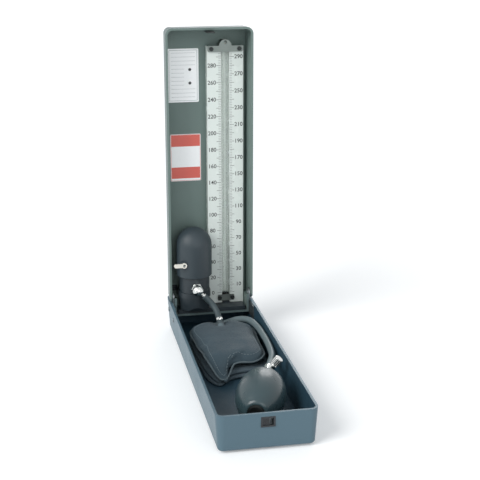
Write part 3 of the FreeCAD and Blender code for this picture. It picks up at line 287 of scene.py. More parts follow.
def placed(tree, group, **values):
    """Output of a group that is put into a material with its own values."""
    return add_node(tree, "Group", values, node_tree=group).outputs[0]


def bumped(tree, height, depth):
    """Normal of a surface raised by a height of 0 to 1, times a depth in metres."""
    return add_node(tree, "Bump", {"Height": height, "Distance": depth}).outputs["Normal"]


def finish_material(name, base, tone, gloss, grain, metal=0.0, specular=0.5, coat=0.0):
    """Finish with uneven tone and gloss and a fine grain.

    tone is its swing and its scale, gloss the least and greatest roughness and their scale,
    and grain its scale and its depth in metres.
    """
    material, tree, shader = new_material(name)
    feed(tree, shader, {
        "Base Color": placed(tree, uneven_tone, Base=base, Amount=tone[0], Scale=tone[1]),
        "Roughness": placed(tree, uneven_gloss, Smooth=gloss[0], Rough=gloss[1], Scale=gloss[2]),
        "Normal": bumped(tree, placed(tree, fine_grain, Scale=grain[0]), grain[1]),
        "Metallic": metal, "Specular IOR Level": specular, "Coat Weight": coat})
    return material


def dress(material, *names):
    """Give carried-over nodes of the frame one finish."""
    for name in names:
        slots = nodes[name].data.materials
        slots.clear()
        slots.append(material)


# ======== Case: tray and lid ========
# Two halves moulded in grey plastic with a fine satin grain, drafted and rounded so that
# they leave their moulds. The tray is bluer, and its inner faces carry painted shade, a far
# darker colour that stands in for the shade deep in the tray; the lid is greener.

tray_outside = colour(82, 106, 118)
# painted shade: the tray's inner faces take this far darker colour in place of the shade deep in the
# tray
tray_inside_painted_shade = colour(36, 62, 76)
lid_outside = colour(92, 108, 109)
lid_inside = colour(106, 123, 119)
rim_shown = 0.0006


def lined_material(name, outside, inside, middle):
    """Case plastic with its own colour and a duller finish on its inner faces, all that look towards
    the middle; in the tray that inner colour is painted shade.
    """
    material = finish_material(name, outside, tone=(0.08, 22.0), gloss=(0.38, 0.44, 30.0),
                               grain=(1700.0, 0.00010), specular=0.35)
    tree = material.node_tree
    shader = tree.nodes["Principled BSDF"]
    outer_tone, outer_gloss = [shader.inputs[socket].links[0].from_socket
                               for socket in ("Base Color", "Roughness")]
    inner_tone = placed(tree, uneven_tone, Base=inside, Amount=0.16, Scale=34.0)
    inner_gloss = placed(tree, uneven_gloss, Smooth=0.46, Rough=0.62, Scale=40.0)
    # the faces that look towards the middle take the inner colour, which in the tray is painted
    # shade
    facing = placed(tree, faces_middle, Middle=middle)
    # a Mix node's inputs 6 and 7 and its output 2 are its colours
    tone = add_node(tree, "Mix", {"Factor": facing, 6: outer_tone, 7: inner_tone},
                    data_type="RGBA")
    gloss = add_node(tree, "Mix", {"Factor": facing, "A": outer_gloss, "B": inner_gloss})
    feed(tree, shader, {"Base Color": tone.outputs[2], "Roughness": gloss.outputs["Result"]})
    return material


# each middle lies just inside the open rim, so that the rim itself counts as outside
tray_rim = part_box("tray_shell")[1].z
lid_low, lid_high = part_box("lid_shell")
tray_middle = (0, 0, tray_rim - rim_shown)
lid_middle = (0, lid_low.y + rim_shown, (lid_low.z + lid_high.z) / 2)
dress(lined_material("tray_plastic_painted_shade", tray_outside, tray_inside_painted_shade, tray_middle), "tray_shell")
dress(lined_material("lid_plastic", lid_outside, lid_inside, lid_middle), "lid_shell")


# ======== Feet ========
# Four black rubber buttons under the corners of the tray, each pushed through its
# floor by a peg.

foot_finish = finish_material("foot_rubber", colour(28, 28, 29), tone=(0.2, 90.0),
                              gloss=(0.6, 0.8, 120.0), grain=(2400.0, 0.00006), specular=0.3)
dress(foot_finish, "rubber_feet")


# ======== Hinge and latch guide ========
# Zinc-plated pressed steel, faintly brushed, held with plated rivets and screws. The
# steel balls of the bulb's two valves share its finish.

scratch_scale = 900.0


def brushed_material(name, base, smooth, rough, along, depth):
    """Metal with fine scratches drawn out along one axis; along squeezes the noise."""
    material, tree, shader = new_material(name)
    feed(tree, shader, {
        "Base Color": placed(tree, uneven_tone, Base=base, Amount=0.16, Scale=70.0),
        "Roughness": placed(tree, uneven_gloss, Smooth=smooth, Rough=rough, Scale=140.0),
        "Normal": bumped(tree, noise_at(tree, scratch_scale, 3, along), depth), "Metallic": 1.0})
    return material


zinc_finish = brushed_material("zinc_steel", colour(128, 135, 138), 0.34, 0.50,
                               (1.0, 0.08, 1.0), 0.00004)
dress(zinc_finish, "hinge_bracket_left", "hinge_bracket_right", "hinge_pins", "hinge_washers",
      "hinge_rivets", "latch_guide", "latch_screws", "end_valve_ball", "outlet_valve_ball")


# ======== Front latch ========
# Black moulded frame set into the opening of the front wall, with a ribbed knob that
# slides sideways in it to free the lid.

latch_finish = finish_material("latch_black", colour(38, 42, 46), tone=(0.15, 120.0),
                               gloss=(0.32, 0.48, 150.0), grain=(2200.0, 0.00006))
dress(latch_finish, "latch_bezel", "latch_slide")


# ======== Scale plate ========
# Sheet metal folded into two wings and a groove, enamelled white; the wings carry
# the divisions and figures of 0 to 300 mmHg, printed in black.

scale_zero = 0.0440
millimetre_of_mercury = 0.000982
full_scale = 300
mark_step = 2
figure_step = 10
long_mark, long_mark_half_width = 0.0052, 0.00022
short_mark, short_mark_half_width = 0.0028, 0.00014
groove_half = 0.0048
mark_beyond_groove = 0.0004
figure_beyond_groove = 0.0108
figure_size = 0.0066
figure_weight = 0.012
print_lift = 0.00006
print_sunk = 0.00001

enamel_finish = finish_material("scale_enamel", colour(216, 224, 220), tone=(0.05, 35.0),
                                gloss=(0.18, 0.30, 80.0), grain=(500.0, 0.00002), coat=0.25)
dress(enamel_finish, "scale_plate")
print_finish = finish_material("scale_print", colour(30, 34, 36), tone=(0.1, 400.0),
                               gloss=(0.45, 0.6, 300.0), grain=(3000.0, 0.00001))

plate_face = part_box("scale_plate")[0].y
glass_low, glass_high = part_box("glass_tube")
groove_middle = (glass_low.x + glass_high.x) / 2


def repeated(faces, copies, points_each):
    """Faces of every copy of a shape, from those of the first."""
    first = np.array(faces)
    return (first + points_each * np.arange(copies)[:, None, None]).reshape(-1, first.shape[1])


def flat_bars(lefts, rights, lows, highs, face):
    """Thin printed bars: each is a box from just inside a face out to the print's lift."""
    lefts, rights, lows, highs = np.broadcast_arrays(lefts, rights, lows, highs)
    x = np.stack([lefts, rights, rights, lefts] * 2, axis=1)
    z = np.stack([lows, lows, highs, highs] * 2, axis=1)
    y = np.broadcast_to(np.repeat([face + print_sunk, face - print_lift], 4), x.shape)
    box = [(3, 2, 1, 0), (4, 5, 6, 7), (1, 5, 4, 0), (2, 6, 5, 1), (3, 7, 6, 2), (0, 4, 7, 3)]
    return np.stack([x, y, z], axis=2).reshape(-1, 3), repeated(box, len(lefts), 8)


def lid_print(name, points, faces, material):
    """Flat printed or glued piece that rides on the lid."""
    piece = mesh_piece(name, points, faces, "lid", material, smooth=False)


values = np.arange(0, full_scale + 1, mark_step)
whole_ten = values % figure_step == 0
side = np.repeat((-1, 1), len(values))
inner = groove_middle + side * (groove_half + mark_beyond_groove)
outer = inner + side * np.tile(np.where(whole_ten, long_mark, short_mark), 2)
height = np.tile(scale_zero + values * millimetre_of_mercury, 2)
half = np.tile(np.where(whole_ten, long_mark_half_width, short_mark_half_width), 2)
lid_print("scale_divisions", *flat_bars(np.minimum(inner, outer), np.maximum(inner, outer),
                                        height - half, height + half, plate_face), print_finish)


def mesh_of(piece):
    """New mesh of what a curve, a text or a piece with modifiers comes to."""
    return bpy.data.meshes.new_from_object(
        piece.evaluated_get(bpy.context.evaluated_depsgraph_get()))


def mesh_points(mesh):
    """The points of a mesh."""
    points = np.zeros(len(mesh.vertices) * 3)
    mesh.vertices.foreach_get("co", points)
    return points.reshape(-1, 3)


def taken_mesh(holder):
    """Mesh of a curve or text object, which is removed."""
    mesh = mesh_of(holder)
    curve = holder.data
    bpy.data.objects.remove(holder)
    bpy.data.curves.remove(curve)
    return mesh


def figure_mesh(text):
    """Outline and thin body of a printed figure, lying in the XY plane about its middle."""
    curve = bpy.data.curves.new("figure", "FONT")
    curve.body = text
    curve.size = figure_size
    curve.align_x = "CENTER"
    curve.align_y = "CENTER"
    curve.extrude = print_lift / 2
    curve.offset = figure_size * figure_weight
    curve.resolution_u = 3
    holder = bpy.data.objects.new("figure", curve)
    bpy.context.scene.collection.objects.link(holder)
    mesh = taken_mesh(holder)
    # the sides and the face come with points of their own, which are merged here
    points, merged = np.unique(np.round(mesh_points(mesh), 8), axis=0, return_inverse=True)
    merged = merged.reshape(-1)
    faces = [merged[list(face.vertices)] for face in mesh.polygons]
    bpy.data.meshes.remove(mesh)
    return points, faces


figure_points = []
figure_faces = []
count = 0
for value in range(0, full_scale, figure_step):
    side = -1 if value % (2 * figure_step) == 0 else 1
    points, faces = figure_mesh(str(value))
    x = points[:, 0] + groove_middle + side * (groove_half + figure_beyond_groove)
    y = plate_face - print_lift / 2 - points[:, 2]
    z = points[:, 1] + scale_zero + value * millimetre_of_mercury
    figure_points.append(np.stack([x, y, z], axis=1))
    figure_faces += [face + count for face in faces]
    count += len(points)
lid_print("scale_figures", np.concatenate(figure_points), figure_faces, print_finish)


# ======== Glass tube and mercury ========
# Clear drawn glass held in the groove between two gaskets, with bright mercury standing
# in it at the zero mark. The rest of the mercury fills the cup.

glass_finish, tree, shader = new_material("clear_glass")
feed(tree, shader, {
    "Base Color": (0.95, 0.975, 0.96, 1), "Transmission Weight": 1.0, "IOR": 1.30, "Alpha": 0.42,
    "Roughness": placed(tree, uneven_gloss, Smooth=0.0, Rough=0.05, Scale=200.0)})
dress(glass_finish, "glass_tube")

mercury_finish = finish_material("mercury", colour(214, 216, 218), tone=(0.03, 200.0),
                                 gloss=(0.02, 0.06, 150.0), grain=(300.0, 0.00001), metal=1.0)
dress(mercury_finish, "mercury_column", "reservoir_mercury")


# ======== Base, cup and gaskets ========
# Cast iron base bar and cup with a hard black enamel; black rubber rings seal the glass
# and the cup, and a chamois disc under the tube's cap lets air in, keeping mercury back.

iron_finish = finish_material("black_enamelled_iron", colour(34, 44, 50), tone=(0.16, 70.0),
                              gloss=(0.38, 0.54, 90.0), grain=(900.0, 0.00010))
dress(iron_finish, "manometer_base", "reservoir_cup", "reservoir_strap", "strap_screws")
gasket_finish = finish_material("gasket_rubber", colour(32, 30, 29), tone=(0.12, 200.0),
                                gloss=(0.55, 0.7, 200.0), grain=(2500.0, 0.00004))
dress(gasket_finish, "tube_bottom_gasket", "tube_top_gasket", "reservoir_gasket")
chamois_finish = finish_material("chamois", colour(176, 146, 104), tone=(0.25, 500.0),
                                 gloss=(0.7, 0.9, 300.0), grain=(3500.0, 0.00008))
dress(chamois_finish, "vent_disc")


# ======== Plated fittings ========
# Turned and pressed brass: bright nickel on the air outlet, hose connector, tap and valve,
# satin nickel on the bars that hold the glass. Their screws, the bulb's inlet valve and the
# lid's pressed striker are blackened.

plating_finish = brushed_material("bright_nickel", colour(216, 219, 218), 0.10, 0.22,
                                  (1.0, 1.0, 0.2), 0.00001)
dress(plating_finish, "air_outlet", "outlet_nut", "cuff_connector", "tap_plug", "lever_screw",
      "valve_body", "hose_nipple", "thumb_needle", "thumb_screw")
satin_finish = brushed_material("satin_nickel", colour(118, 126, 123), 0.34, 0.50,
                                (0.2, 1.0, 1.0), 0.00002)
dress(satin_finish, "tube_clamp", "foot_clamp", "tube_cap")
screw_finish = brushed_material("blackened_screws", colour(58, 62, 62), 0.38, 0.52,
                                (1.0, 1.0, 1.0), 0.00002)
dress(screw_finish, "clamp_screws", "foot_clamp_screws", "end_valve_body", "lid_striker",
      "striker_screws")


# ======== Reservoir cap ========
# Thick domed cap moulded in slate-grey plastic with a satin skin; its skirt slips over
# the cup and its step bears on the gasket.

cap_finish = finish_material("slate_plastic", colour(46, 57, 63), tone=(0.14, 40.0),
                             gloss=(0.40, 0.54, 60.0), grain=(1400.0, 0.00005), specular=0.45)
dress(cap_finish, "reservoir_cap")


# ======== Tap lever ========
# Short moulded lever in ivory plastic on the square end of the tap's plug, held by one
# plated screw.

lever_finish = finish_material("ivory_plastic", colour(232, 230, 220), tone=(0.06, 150.0),
                               gloss=(0.2, 0.32, 150.0), grain=(800.0, 0.00003))
dress(lever_finish, "shut_off_lever")


# ======== Labels on the lid's back panel ========
# Two thin coated-paper plates glued flat to the panel: one white with faint ruled lines
# and two dots, one with red bands above and below. Both are bare of words.

panel_face = 0.1665
label_thickness = 0.00018
label_front = panel_face - label_thickness
ink_front = label_front - print_lift
label_corner = 0.0012
white_edges = white_left, white_right, white_low, white_high = -0.0446, -0.0088, 0.2765, 0.338
red_edges = red_left, red_right, red_low, red_high = -0.0430, -0.0072, 0.1830, 0.2390
band_edge = 0.0011
band_height = 0.0135
band_corner = 0.0004
low_band_rise = 0.0020
dot_x = -0.0190
dot_heights = (0.3140, 0.2985)
dot_half = 0.0017
dot_corner = 0.0016
white_rule_inset = 0.0016
red_rule_inset = 0.0005
rule_width = 0.0004
line_pitch = 0.0046
line_half_width = 0.00012
line_margin = 0.0040
first_line_rise = 0.0020
short_line = 0.0150
beside_dots = 0.306
beside_dots_half = 0.0105


def corner_ring(left, right, low, high, low_radius, high_radius, steps):
    """Outline of a rectangle whose corners are quarter circles, anticlockwise."""
    turn = np.linspace(0, math.pi / 2, steps)
    corners = [(right - high_radius, high - high_radius, high_radius),
               (left + high_radius, high - high_radius, high_radius),
               (left + low_radius, low + low_radius, low_radius),
               (right - low_radius, low + low_radius, low_radius)]
    return np.concatenate([
        np.stack([x + radius * np.cos(turn + quarter * math.pi / 2),
                  y + radius * np.sin(turn + quarter * math.pi / 2)], axis=1)
        for quarter, (x, y, radius) in enumerate(corners)])


def label_piece(name, left, right, low, high, radius, front, back, material):
    """One flat layer of a label: a thin upright plate with rounded corners."""
    ring = corner_ring(left, right, low, high, radius, radius, steps=6)
    points = np.concatenate([np.insert(ring, 1, y, axis=1) for y in (front, back)])
    here = np.arange(len(ring))
    behind = here + len(ring)
    sides = np.stack([here, behind, np.roll(behind, -1), np.roll(here, -1)], axis=1)
    lid_print(name, points, [here, behind[::-1], *sides], material)


def rule_frame(name, left, right, low, high, inset, material):
    """Four thin printed bars round a label, set in from its edge."""
    left, right, low, high = left + inset, right - inset, low + inset, high - inset
    points, faces = flat_bars(
        [left, right - rule_width, left, left], [left + rule_width, right, right, right],
        [low, low, low, high - rule_width], [high, high, low + rule_width, high], label_front)
    lid_print(name, points, faces, material)


def paper_material(name, base):
    """Coated paper: nearly even, with a faint fibre and a soft gloss."""
    return finish_material(name, base, tone=(0.04, 300.0), gloss=(0.3, 0.42, 120.0),
                           grain=(1800.0, 0.00002))


white_paper = paper_material("white_label", colour(251, 253, 254))
red_paper = paper_material("red_label_band", colour(216, 100, 88))
grey_print = paper_material("grey_label_print", colour(150, 158, 160))
black_print = paper_material("black_label_print", colour(40, 42, 46))

for name, edges in (("white_label", white_edges), ("red_label", red_edges)):
    label_piece(name, *edges, label_corner, label_front, panel_face, white_paper)
for name, low in (("red_label_top_band", red_high - band_edge - band_height),
                  ("red_label_low_band", red_low + band_edge + low_band_rise)):
    label_piece(name, red_left + band_edge, red_right - band_edge, low, low + band_height,
                band_corner, ink_front, label_front, red_paper)
for number, dot_z in enumerate(dot_heights):
    label_piece("white_label_dot_%d" % number, dot_x - dot_half, dot_x + dot_half,
                dot_z - dot_half, dot_z + dot_half, dot_corner, ink_front, label_front,
                black_print)
rule_frame("white_label_rule", *white_edges, white_rule_inset, grey_print)
lines = np.arange(white_low + line_margin + first_line_rise, white_high - line_margin,
                  line_pitch)
line_left = white_left + line_margin
line_right = np.where(np.abs(lines - beside_dots) < beside_dots_half, line_left + short_line,
                      white_right - line_margin)
lid_print("white_label_lines", *flat_bars(line_left, line_right, lines - line_half_width,
                                          lines + line_half_width, label_front), grey_print)
rule_frame("red_label_rule", *red_edges, red_rule_inset, red_paper)


# ======== Hoses ========
# Smooth latex tube. The long one runs from the bulb's valve round the right side and the
# far end of the folded cuff; two short links join the outlet to the cuff, made darker as
# painted shade for the shade below the scale where they run.

hose_radius = 0.0036
link_bore = 0.0023
tube_columns = 24
tray_front = -0.172
tray_back = 0.172
bulb_turn = math.radians(19.0)
bulb_heading = Vector((math.sin(bulb_turn), math.cos(bulb_turn), 0))
bulb_middle = Vector((0.0058, tray_front + 0.060, 0.0298))
valve_reach = 0.07065
straight_start = 0.016
bulb_hose_start = bulb_middle + bulb_heading * valve_reach
bulb_hose_route = [
    tuple(bulb_hose_start),
    tuple(bulb_hose_start + bulb_heading * straight_start),
    (0.0404, tray_front + 0.158, 0.0310),
    (0.0424, 0.0295, 0.0318),
    (0.0414, tray_back - 0.099, 0.0312),
    (0.0355, tray_back - 0.071, 0.0300),
    (0.0200, tray_back - 0.054, 0.0225),
    (0.0010, tray_back - 0.051, 0.0125),
    (-0.0170, tray_back - 0.056, 0.0105),
    (-0.0270, tray_back - 0.0685, 0.0105),
]
manometer_hose_route = [
    (-0.01317, 0.11724, 0.05540),
    (-0.00670, 0.11701, 0.04915),
    (-0.00160, 0.11370, 0.04260),
    (0.00135, 0.10736, 0.03674),
    (0.00180, 0.09953, 0.03233),
]
cuff_tube_route = [
    (0.00200, 0.09587, 0.03027),
    (0.00255, 0.08639, 0.02493),
    (0.00300, 0.07916, 0.01962),
]


def route_curve(name, route, radius=0.0):
    """Smooth curve whose control points are the route's."""
    curve = bpy.data.curves.new(name, "CURVE")
    curve.dimensions = "3D"
    spline = curve.splines.new("NURBS")
    spline.points.add(len(route) - 1)
    for point, place in zip(spline.points, route):
        point.co = (*place, 1)
    spline.order_u = 3
    spline.use_endpoint_u = True
    spline.resolution_u = 12
    curve.bevel_depth = radius
    curve.bevel_resolution = 8
    curve.use_fill_caps = True
    holder = bpy.data.objects.new(name, curve)
    bpy.context.scene.collection.objects.link(holder)
    return holder


hose_finish = finish_material("hose_latex", colour(96, 110, 114), tone=(0.14, 60.0),
                              gloss=(0.38, 0.55, 60.0), grain=(700.0, 0.00004), specular=0.45)
bulb_hose = route_curve("bulb_hose_tube", bulb_hose_route, hose_radius)
bulb_hose.data.materials.append(hose_finish)
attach(bulb_hose, "base")
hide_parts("bulb_hose")


def grid_faces(rows, columns, rows_close=False):
    """Quads of a grid whose columns go round and meet; its rows meet too if rows_close."""
    row, column = np.meshgrid(np.arange(rows if rows_close else rows - 1), np.arange(columns),
                              indexing="ij")
    along = (row + 1) % rows
    beside = (column + 1) % columns
    return np.stack([along * columns + column, along * columns + beside,
                     row * columns + beside, row * columns + column], axis=2).reshape(-1, 4)


def frames_along(ahead):
    """Unit tangent and two unit normals, one of them level, for each direction of a line."""
    ahead = ahead / np.linalg.norm(ahead, axis=1, keepdims=True)
    side = np.cross(ahead, (0.0, 0.0, 1.0))
    side /= np.linalg.norm(side, axis=1, keepdims=True)
    return ahead, side, np.cross(side, ahead)


def circle(side, up, columns):
    """Unit circle for each side and up: the turn's cosine times side and its sine times up."""
    turn = np.linspace(0, 2 * math.pi, columns, endpoint=False)[:, None]
    return (np.cos(turn) * np.asarray(side)[..., None, :]
            + np.sin(turn) * np.asarray(up)[..., None, :])


def tube_points(line, ahead, radii, columns):
    """A circle of the given radius round each point of a line, square to the way ahead."""
    _, side, up = frames_along(ahead)
    radii = np.broadcast_to(radii, len(line))[:, None, None]
    return (line[:, None, :] + radii * circle(side, up, columns)).reshape(-1, 3)


def open_tube(line, radii, bore):
    """Tube along a line, hollow at both ends: its wall turns in at each end and runs back."""
    outer, inner = [tube_points(line, np.gradient(line, axis=0), radius, tube_columns)
                    for radius in (radii, bore)]
    inner = inner.reshape(-1, tube_columns, 3)[::-1].reshape(-1, 3)
    return (np.concatenate([outer, inner]),
            grid_faces(2 * len(line), tube_columns, rows_close=True))


# painted shade: the links are the hose's latex made darker for the shade they lie in below the scale
link_finish_painted_shade = finish_material("link_rubber_painted_shade", colour(62, 74, 78), tone=(0.14, 60.0),
                              gloss=(0.42, 0.58, 60.0), grain=(700.0, 0.00004), specular=0.4)


def hose_link(name, route, body, replaced):
    """Short tube along a route, read from the route's own smooth curve."""
    line = taken_mesh(route_curve("route", route))
    points, faces = open_tube(mesh_points(line), hose_radius, link_bore)
    bpy.data.meshes.remove(line)
    link = mesh_piece(name, points, faces, body, link_finish_painted_shade)
    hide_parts(replaced)
    return link


manometer_hose = hose_link("manometer_hose_tube", manometer_hose_route, None, "manometer_hose")
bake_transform(manometer_hose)
hose_link("cuff_tube_link", cuff_tube_route, "base", "cuff_tube")


# ======== Squeeze bulb ========
# Moulded rubber egg with a necked mouth at each end for its valves, a raised parting
# line along both sides where its mould closed, and a dull bloom on its skin.

bulb_radius = 0.025
bulb_half = 0.043
bulb_wall = 0.0028
mouth_radius = 0.0070
lip_radius = mouth_radius + 0.003
lip_bead = 0.0005
lip_bead_width = 0.0010
neck_radius = 0.0085
neck_bore = 0.005
neck_end = 0.047
egg_to_neck = 0.0004
neck_bead = 0.0009
neck_bead_width = 0.0009
bead_from_end = 0.0016
parting_height = 0.00022
parting_width = 0.0005
bulb_columns = 288


def egg_radius(height, radius, half):
    """An egg's radius at a height: the largest times the root of 1 - (height / half) squared."""
    return radius * np.sqrt(np.clip(1 - (height / half) ** 2, 0, 1))


def egg_reach(radius, largest, half):
    """Height of an egg's given radius: half times the root of 1 - (radius / largest) squared."""
    return half * math.sqrt(1 - (radius / largest) ** 2)


def bell(value, middle, width):
    """Bell curve: e to the power of minus (distance from the middle / width) squared."""
    return np.exp(-((value - middle) / width) ** 2)


inner_radius = bulb_radius - bulb_wall
inner_half = bulb_half - bulb_wall
outer_egg = np.linspace(-egg_reach(lip_radius, bulb_radius, bulb_half),
                        egg_reach(neck_radius, bulb_radius, bulb_half), 120)
neck = np.linspace(outer_egg[-1] + egg_to_neck, neck_end, 16)
inner_egg = np.linspace(egg_reach(neck_bore, inner_radius, inner_half),
                        -egg_reach(mouth_radius, inner_radius, inner_half), 60)
profile_height = np.concatenate([outer_egg, neck, [neck_end], inner_egg, [outer_egg[0]]])
profile_radius = np.concatenate([
    egg_radius(outer_egg, bulb_radius, bulb_half)
    + lip_bead * bell(outer_egg, outer_egg[0] + bead_from_end, lip_bead_width),
    neck_radius + neck_bead * bell(neck, neck_end - bead_from_end, neck_bead_width),
    [neck_bore],
    egg_radius(inner_egg, inner_radius, inner_half),
    [mouth_radius]])
# the sides of the mould meet in the level plane through the bulb's axis
from_parting = np.abs(np.sin(np.linspace(0, 2 * math.pi, bulb_columns, endpoint=False)))
outside = np.arange(len(profile_height)) < len(outer_egg)
ridge = (parting_height * outside[:, None]
         * bell(from_parting * profile_radius[:, None], 0, parting_width))
ring = circle(bulb_heading.cross(Vector((0, 0, 1))), (0.0, 0.0, 1.0), bulb_columns)
points = (np.array(bulb_middle) + profile_height[:, None, None] * np.array(bulb_heading)
          + (profile_radius[:, None] + ridge)[:, :, None] * ring)
bulb_rubber = finish_material("bulb_rubber", colour(52, 70, 75), tone=(0.22, 45.0),
                              gloss=(0.26, 0.38, 70.0), grain=(900.0, 0.00002), specular=0.45)
bulb = mesh_piece("bulb_skin", points.reshape(-1, 3),
                  grid_faces(len(profile_height), bulb_columns, rows_close=True), "base",
                  bulb_rubber)
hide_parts("squeeze_bulb")


# ======== Folded cuff ========
# Long band of close-woven coated cloth with the rubber bladder sewn into one end, folded
# in three: two flat folds below, and on top the puffed end with the bladder in it.

cuff_floor = 0.0049
thread_pitch = 0.00050
thread_depth = 0.00010
ring_steps = 24
tongue_x = -0.0225
tongue_width = 0.0120
tongue_from = 0.0200
tongue_fade = 0.0260
tongue_root = 0.0060
tongue_length = 0.0360
fold_tongue_length = 0.0200
tongue_drop = 0.60
lean = 0.0042
lean_from = 0.045
lean_length = 0.060
pillow_low, pillow_sewn_high, pillow_high = 0.0142, 0.0290, 0.0328
pillow_left, pillow_right, pillow_far = -0.0345, 0.0405, 0.1120
tube_x = 0.0022
top_from, top_fade = 0.019, 0.006
dip, dip_from, dip_fade = 0.0024, 0.030, 0.060
waist, waist_from, waist_fade = 0.0036, 0.018, 0.020
dent_depth, dent_width, dent_from, dent_fade = 0.0034, 0.0080, 0.078, 0.014
crease_depth = 0.00035


def make_weave():
    """Plain weave on Object coordinates: in turn, threads one way lie over threads the other.

    Across a thread the height is a half sine; which way it runs changes on a chequer.
    """
    tree, given, out = node_group("plain_weave", "Height", 1, Pitch=0.0005)
    place = add_node(tree, "TexCoord").outputs["Object"]
    x, y, z = add_node(tree, "SeparateXYZ", {0: place}).outputs
    across, along = [maths(tree, "DIVIDE", maths(tree, "ADD", way, z), given["Pitch"])
                     for way in (x, y)]
    warp, weft = [maths(tree, "ABSOLUTE", maths(tree, "SINE", maths(tree, "MULTIPLY", way, math.pi)))
                  for way in (across, along)]
    squares = maths(tree, "ADD", maths(tree, "FLOOR", across), maths(tree, "FLOOR", along))
    chequer = maths(tree, "FLOORED_MODULO", squares, 2)
    over = maths(tree, "MULTIPLY", warp, chequer)
    under = maths(tree, "MULTIPLY", weft, maths(tree, "SUBTRACT", 1, chequer))
    tree.links.new(maths(tree, "ADD", over, under), out)
    return tree


plain_weave = make_weave()


def cloth_material(name, base, pitch, depth):
    """Woven cloth: threads in the bump, with painted shade between them and painted light on their
    crowns, uneven with use.
    """
    material, tree, shader = new_material(name)
    weave = placed(tree, plain_weave, Pitch=pitch)
    shade = placed(tree, uneven_tone, Base=base, Amount=0.30, Scale=38.0)
    # painted shade and light of the weave: the colour runs from 0.72 times between the threads to
    # 1.12 times on their crowns
    lighter = add_node(tree, "MapRange", {"Value": weave, "To Min": 0.72, "To Max": 1.12})
    feed(tree, shader, {
        "Base Color": scaled(tree, shade, lighter.outputs["Result"]),
        "Roughness": placed(tree, uneven_gloss, Smooth=0.52, Rough=0.70, Scale=50.0),
        "Normal": bumped(tree, weave, depth),
        "Specular IOR Level": 0.15, "Sheen Weight": 0.10, "Sheen Roughness": 0.4})
    return material


cuff_cloth = cloth_material("cuff_cloth", colour(65, 81, 90), thread_pitch, thread_depth)
# painted light: the folds are the same cloth as the puffed end, made lighter to offset the shade
# that lies on them under it
fold_cloth_painted_light = cloth_material("cuff_fold_cloth", colour(84, 99, 108), thread_pitch, thread_depth)


def ramp(distance, over):
    """0 where a distance is not positive, rising evenly to 1 where it reaches over."""
    return np.clip(distance / over, 0, 1)


def walk_round(line):
    """A closed line's points with the first again at the end, and how far along each lies."""
    closed = np.vstack([line, line[:1]])
    return closed, np.r_[0, np.cumsum(np.linalg.norm(np.diff(closed, axis=0), axis=1))]


def points_at(places, travelled, line):
    """Points at the given places along a line whose own points lie at travelled."""
    return np.stack([np.interp(places, travelled, values) for values in line.T], axis=1)


def even_ring(left, right, near, far, near_radius, far_radius):
    """Rounded rectangle seen from above, with its points evenly spaced."""
    closed, travelled = walk_round(
        corner_ring(left, right, near, far, near_radius, far_radius, ring_steps))
    return points_at(np.linspace(0, travelled[-1], 4 * ring_steps + 1)[:-1], travelled, closed)


def soft_slab(ring, low, high, square, rows):
    """Closed cushion over an outline, from its bottom middle over its rim to its top middle.

    At the angle t from -90 to 90 degrees, the outline shrinks about its middle to
    cos(t) to the power square, and the height goes as sin(t) to the same power.
    """
    angle = np.linspace(-math.pi / 2, math.pi / 2, rows)[1:-1]
    share = np.cos(angle) ** square
    rise = np.sign(angle) * np.abs(np.sin(angle)) ** square
    middle = (ring.min(axis=0) + ring.max(axis=0)) / 2
    level = (low + high) / 2 + (high - low) / 2 * rise
    flat = middle + share[:, None, None] * (ring - middle)
    points = np.concatenate([flat, np.broadcast_to(level[:, None, None], (*flat.shape[:2], 1))],
                            axis=2).reshape(-1, 3)
    bottom = len(points)
    here = np.arange(len(ring))
    following = np.roll(here, -1)
    top_row = bottom - len(ring)
    bottom_fan = np.stack([np.full_like(here, bottom), following, here], axis=1)
    top_fan = np.stack([np.full_like(here, bottom + 1), top_row + here, top_row + following],
                       axis=1)
    return (np.vstack([points, (*middle, low), (*middle, high)]),
            [*grid_faces(len(angle), len(ring))[:, ::-1], *bottom_fan, *top_fan])


def finished_mesh(piece):
    """Swap a piece's mesh for the one that its modifiers make, and drop the modifiers."""
    made = mesh_of(piece)
    piece.modifiers.clear()
    piece.data = made


def set_points(piece, points):
    """Move the points of a piece's mesh."""
    piece.data.vertices.foreach_set("co", points.reshape(-1))
    piece.data.update()


def puff_up(piece, voxel, pressure, furthest):
    """Cloth pressed out from inside for twenty frames; no point moves further than furthest."""
    remesh = piece.modifiers.new("even_mesh", "REMESH")
    remesh.mode = "VOXEL"
    remesh.voxel_size = voxel
    finished_mesh(piece)
    start = mesh_points(piece.data)
    cloth = piece.modifiers.new("cloth", "CLOTH")
    cloth.settings.use_pressure = True
    cloth.settings.uniform_pressure_force = pressure
    cloth.settings.effector_weights.gravity = 0
    cloth.point_cache.frame_start = 1
    cloth.point_cache.frame_end = 20
    for number in range(1, 21):
        bpy.context.scene.frame_set(number)
    finished_mesh(piece)
    bpy.context.scene.frame_set(1)
    moved = mesh_points(piece.data) - start
    far = np.linalg.norm(moved, axis=1, keepdims=True)
    set_points(piece, start + moved * np.minimum(1, furthest / np.maximum(far, 1e-9)))


def rounded_more(piece):
    """One smoothing subdivision, made part of the mesh."""
    finer = piece.modifiers.new("finer", "SUBSURF")
    finer.levels = 1
    finer.render_levels = 1
    finished_mesh(piece)
    piece.data.polygons.foreach_set("use_smooth", np.full(len(piece.data.polygons), True))


def flattens_with_lid(piece):
    """Gives a cuff piece a mesh of its own."""
    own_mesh(piece)


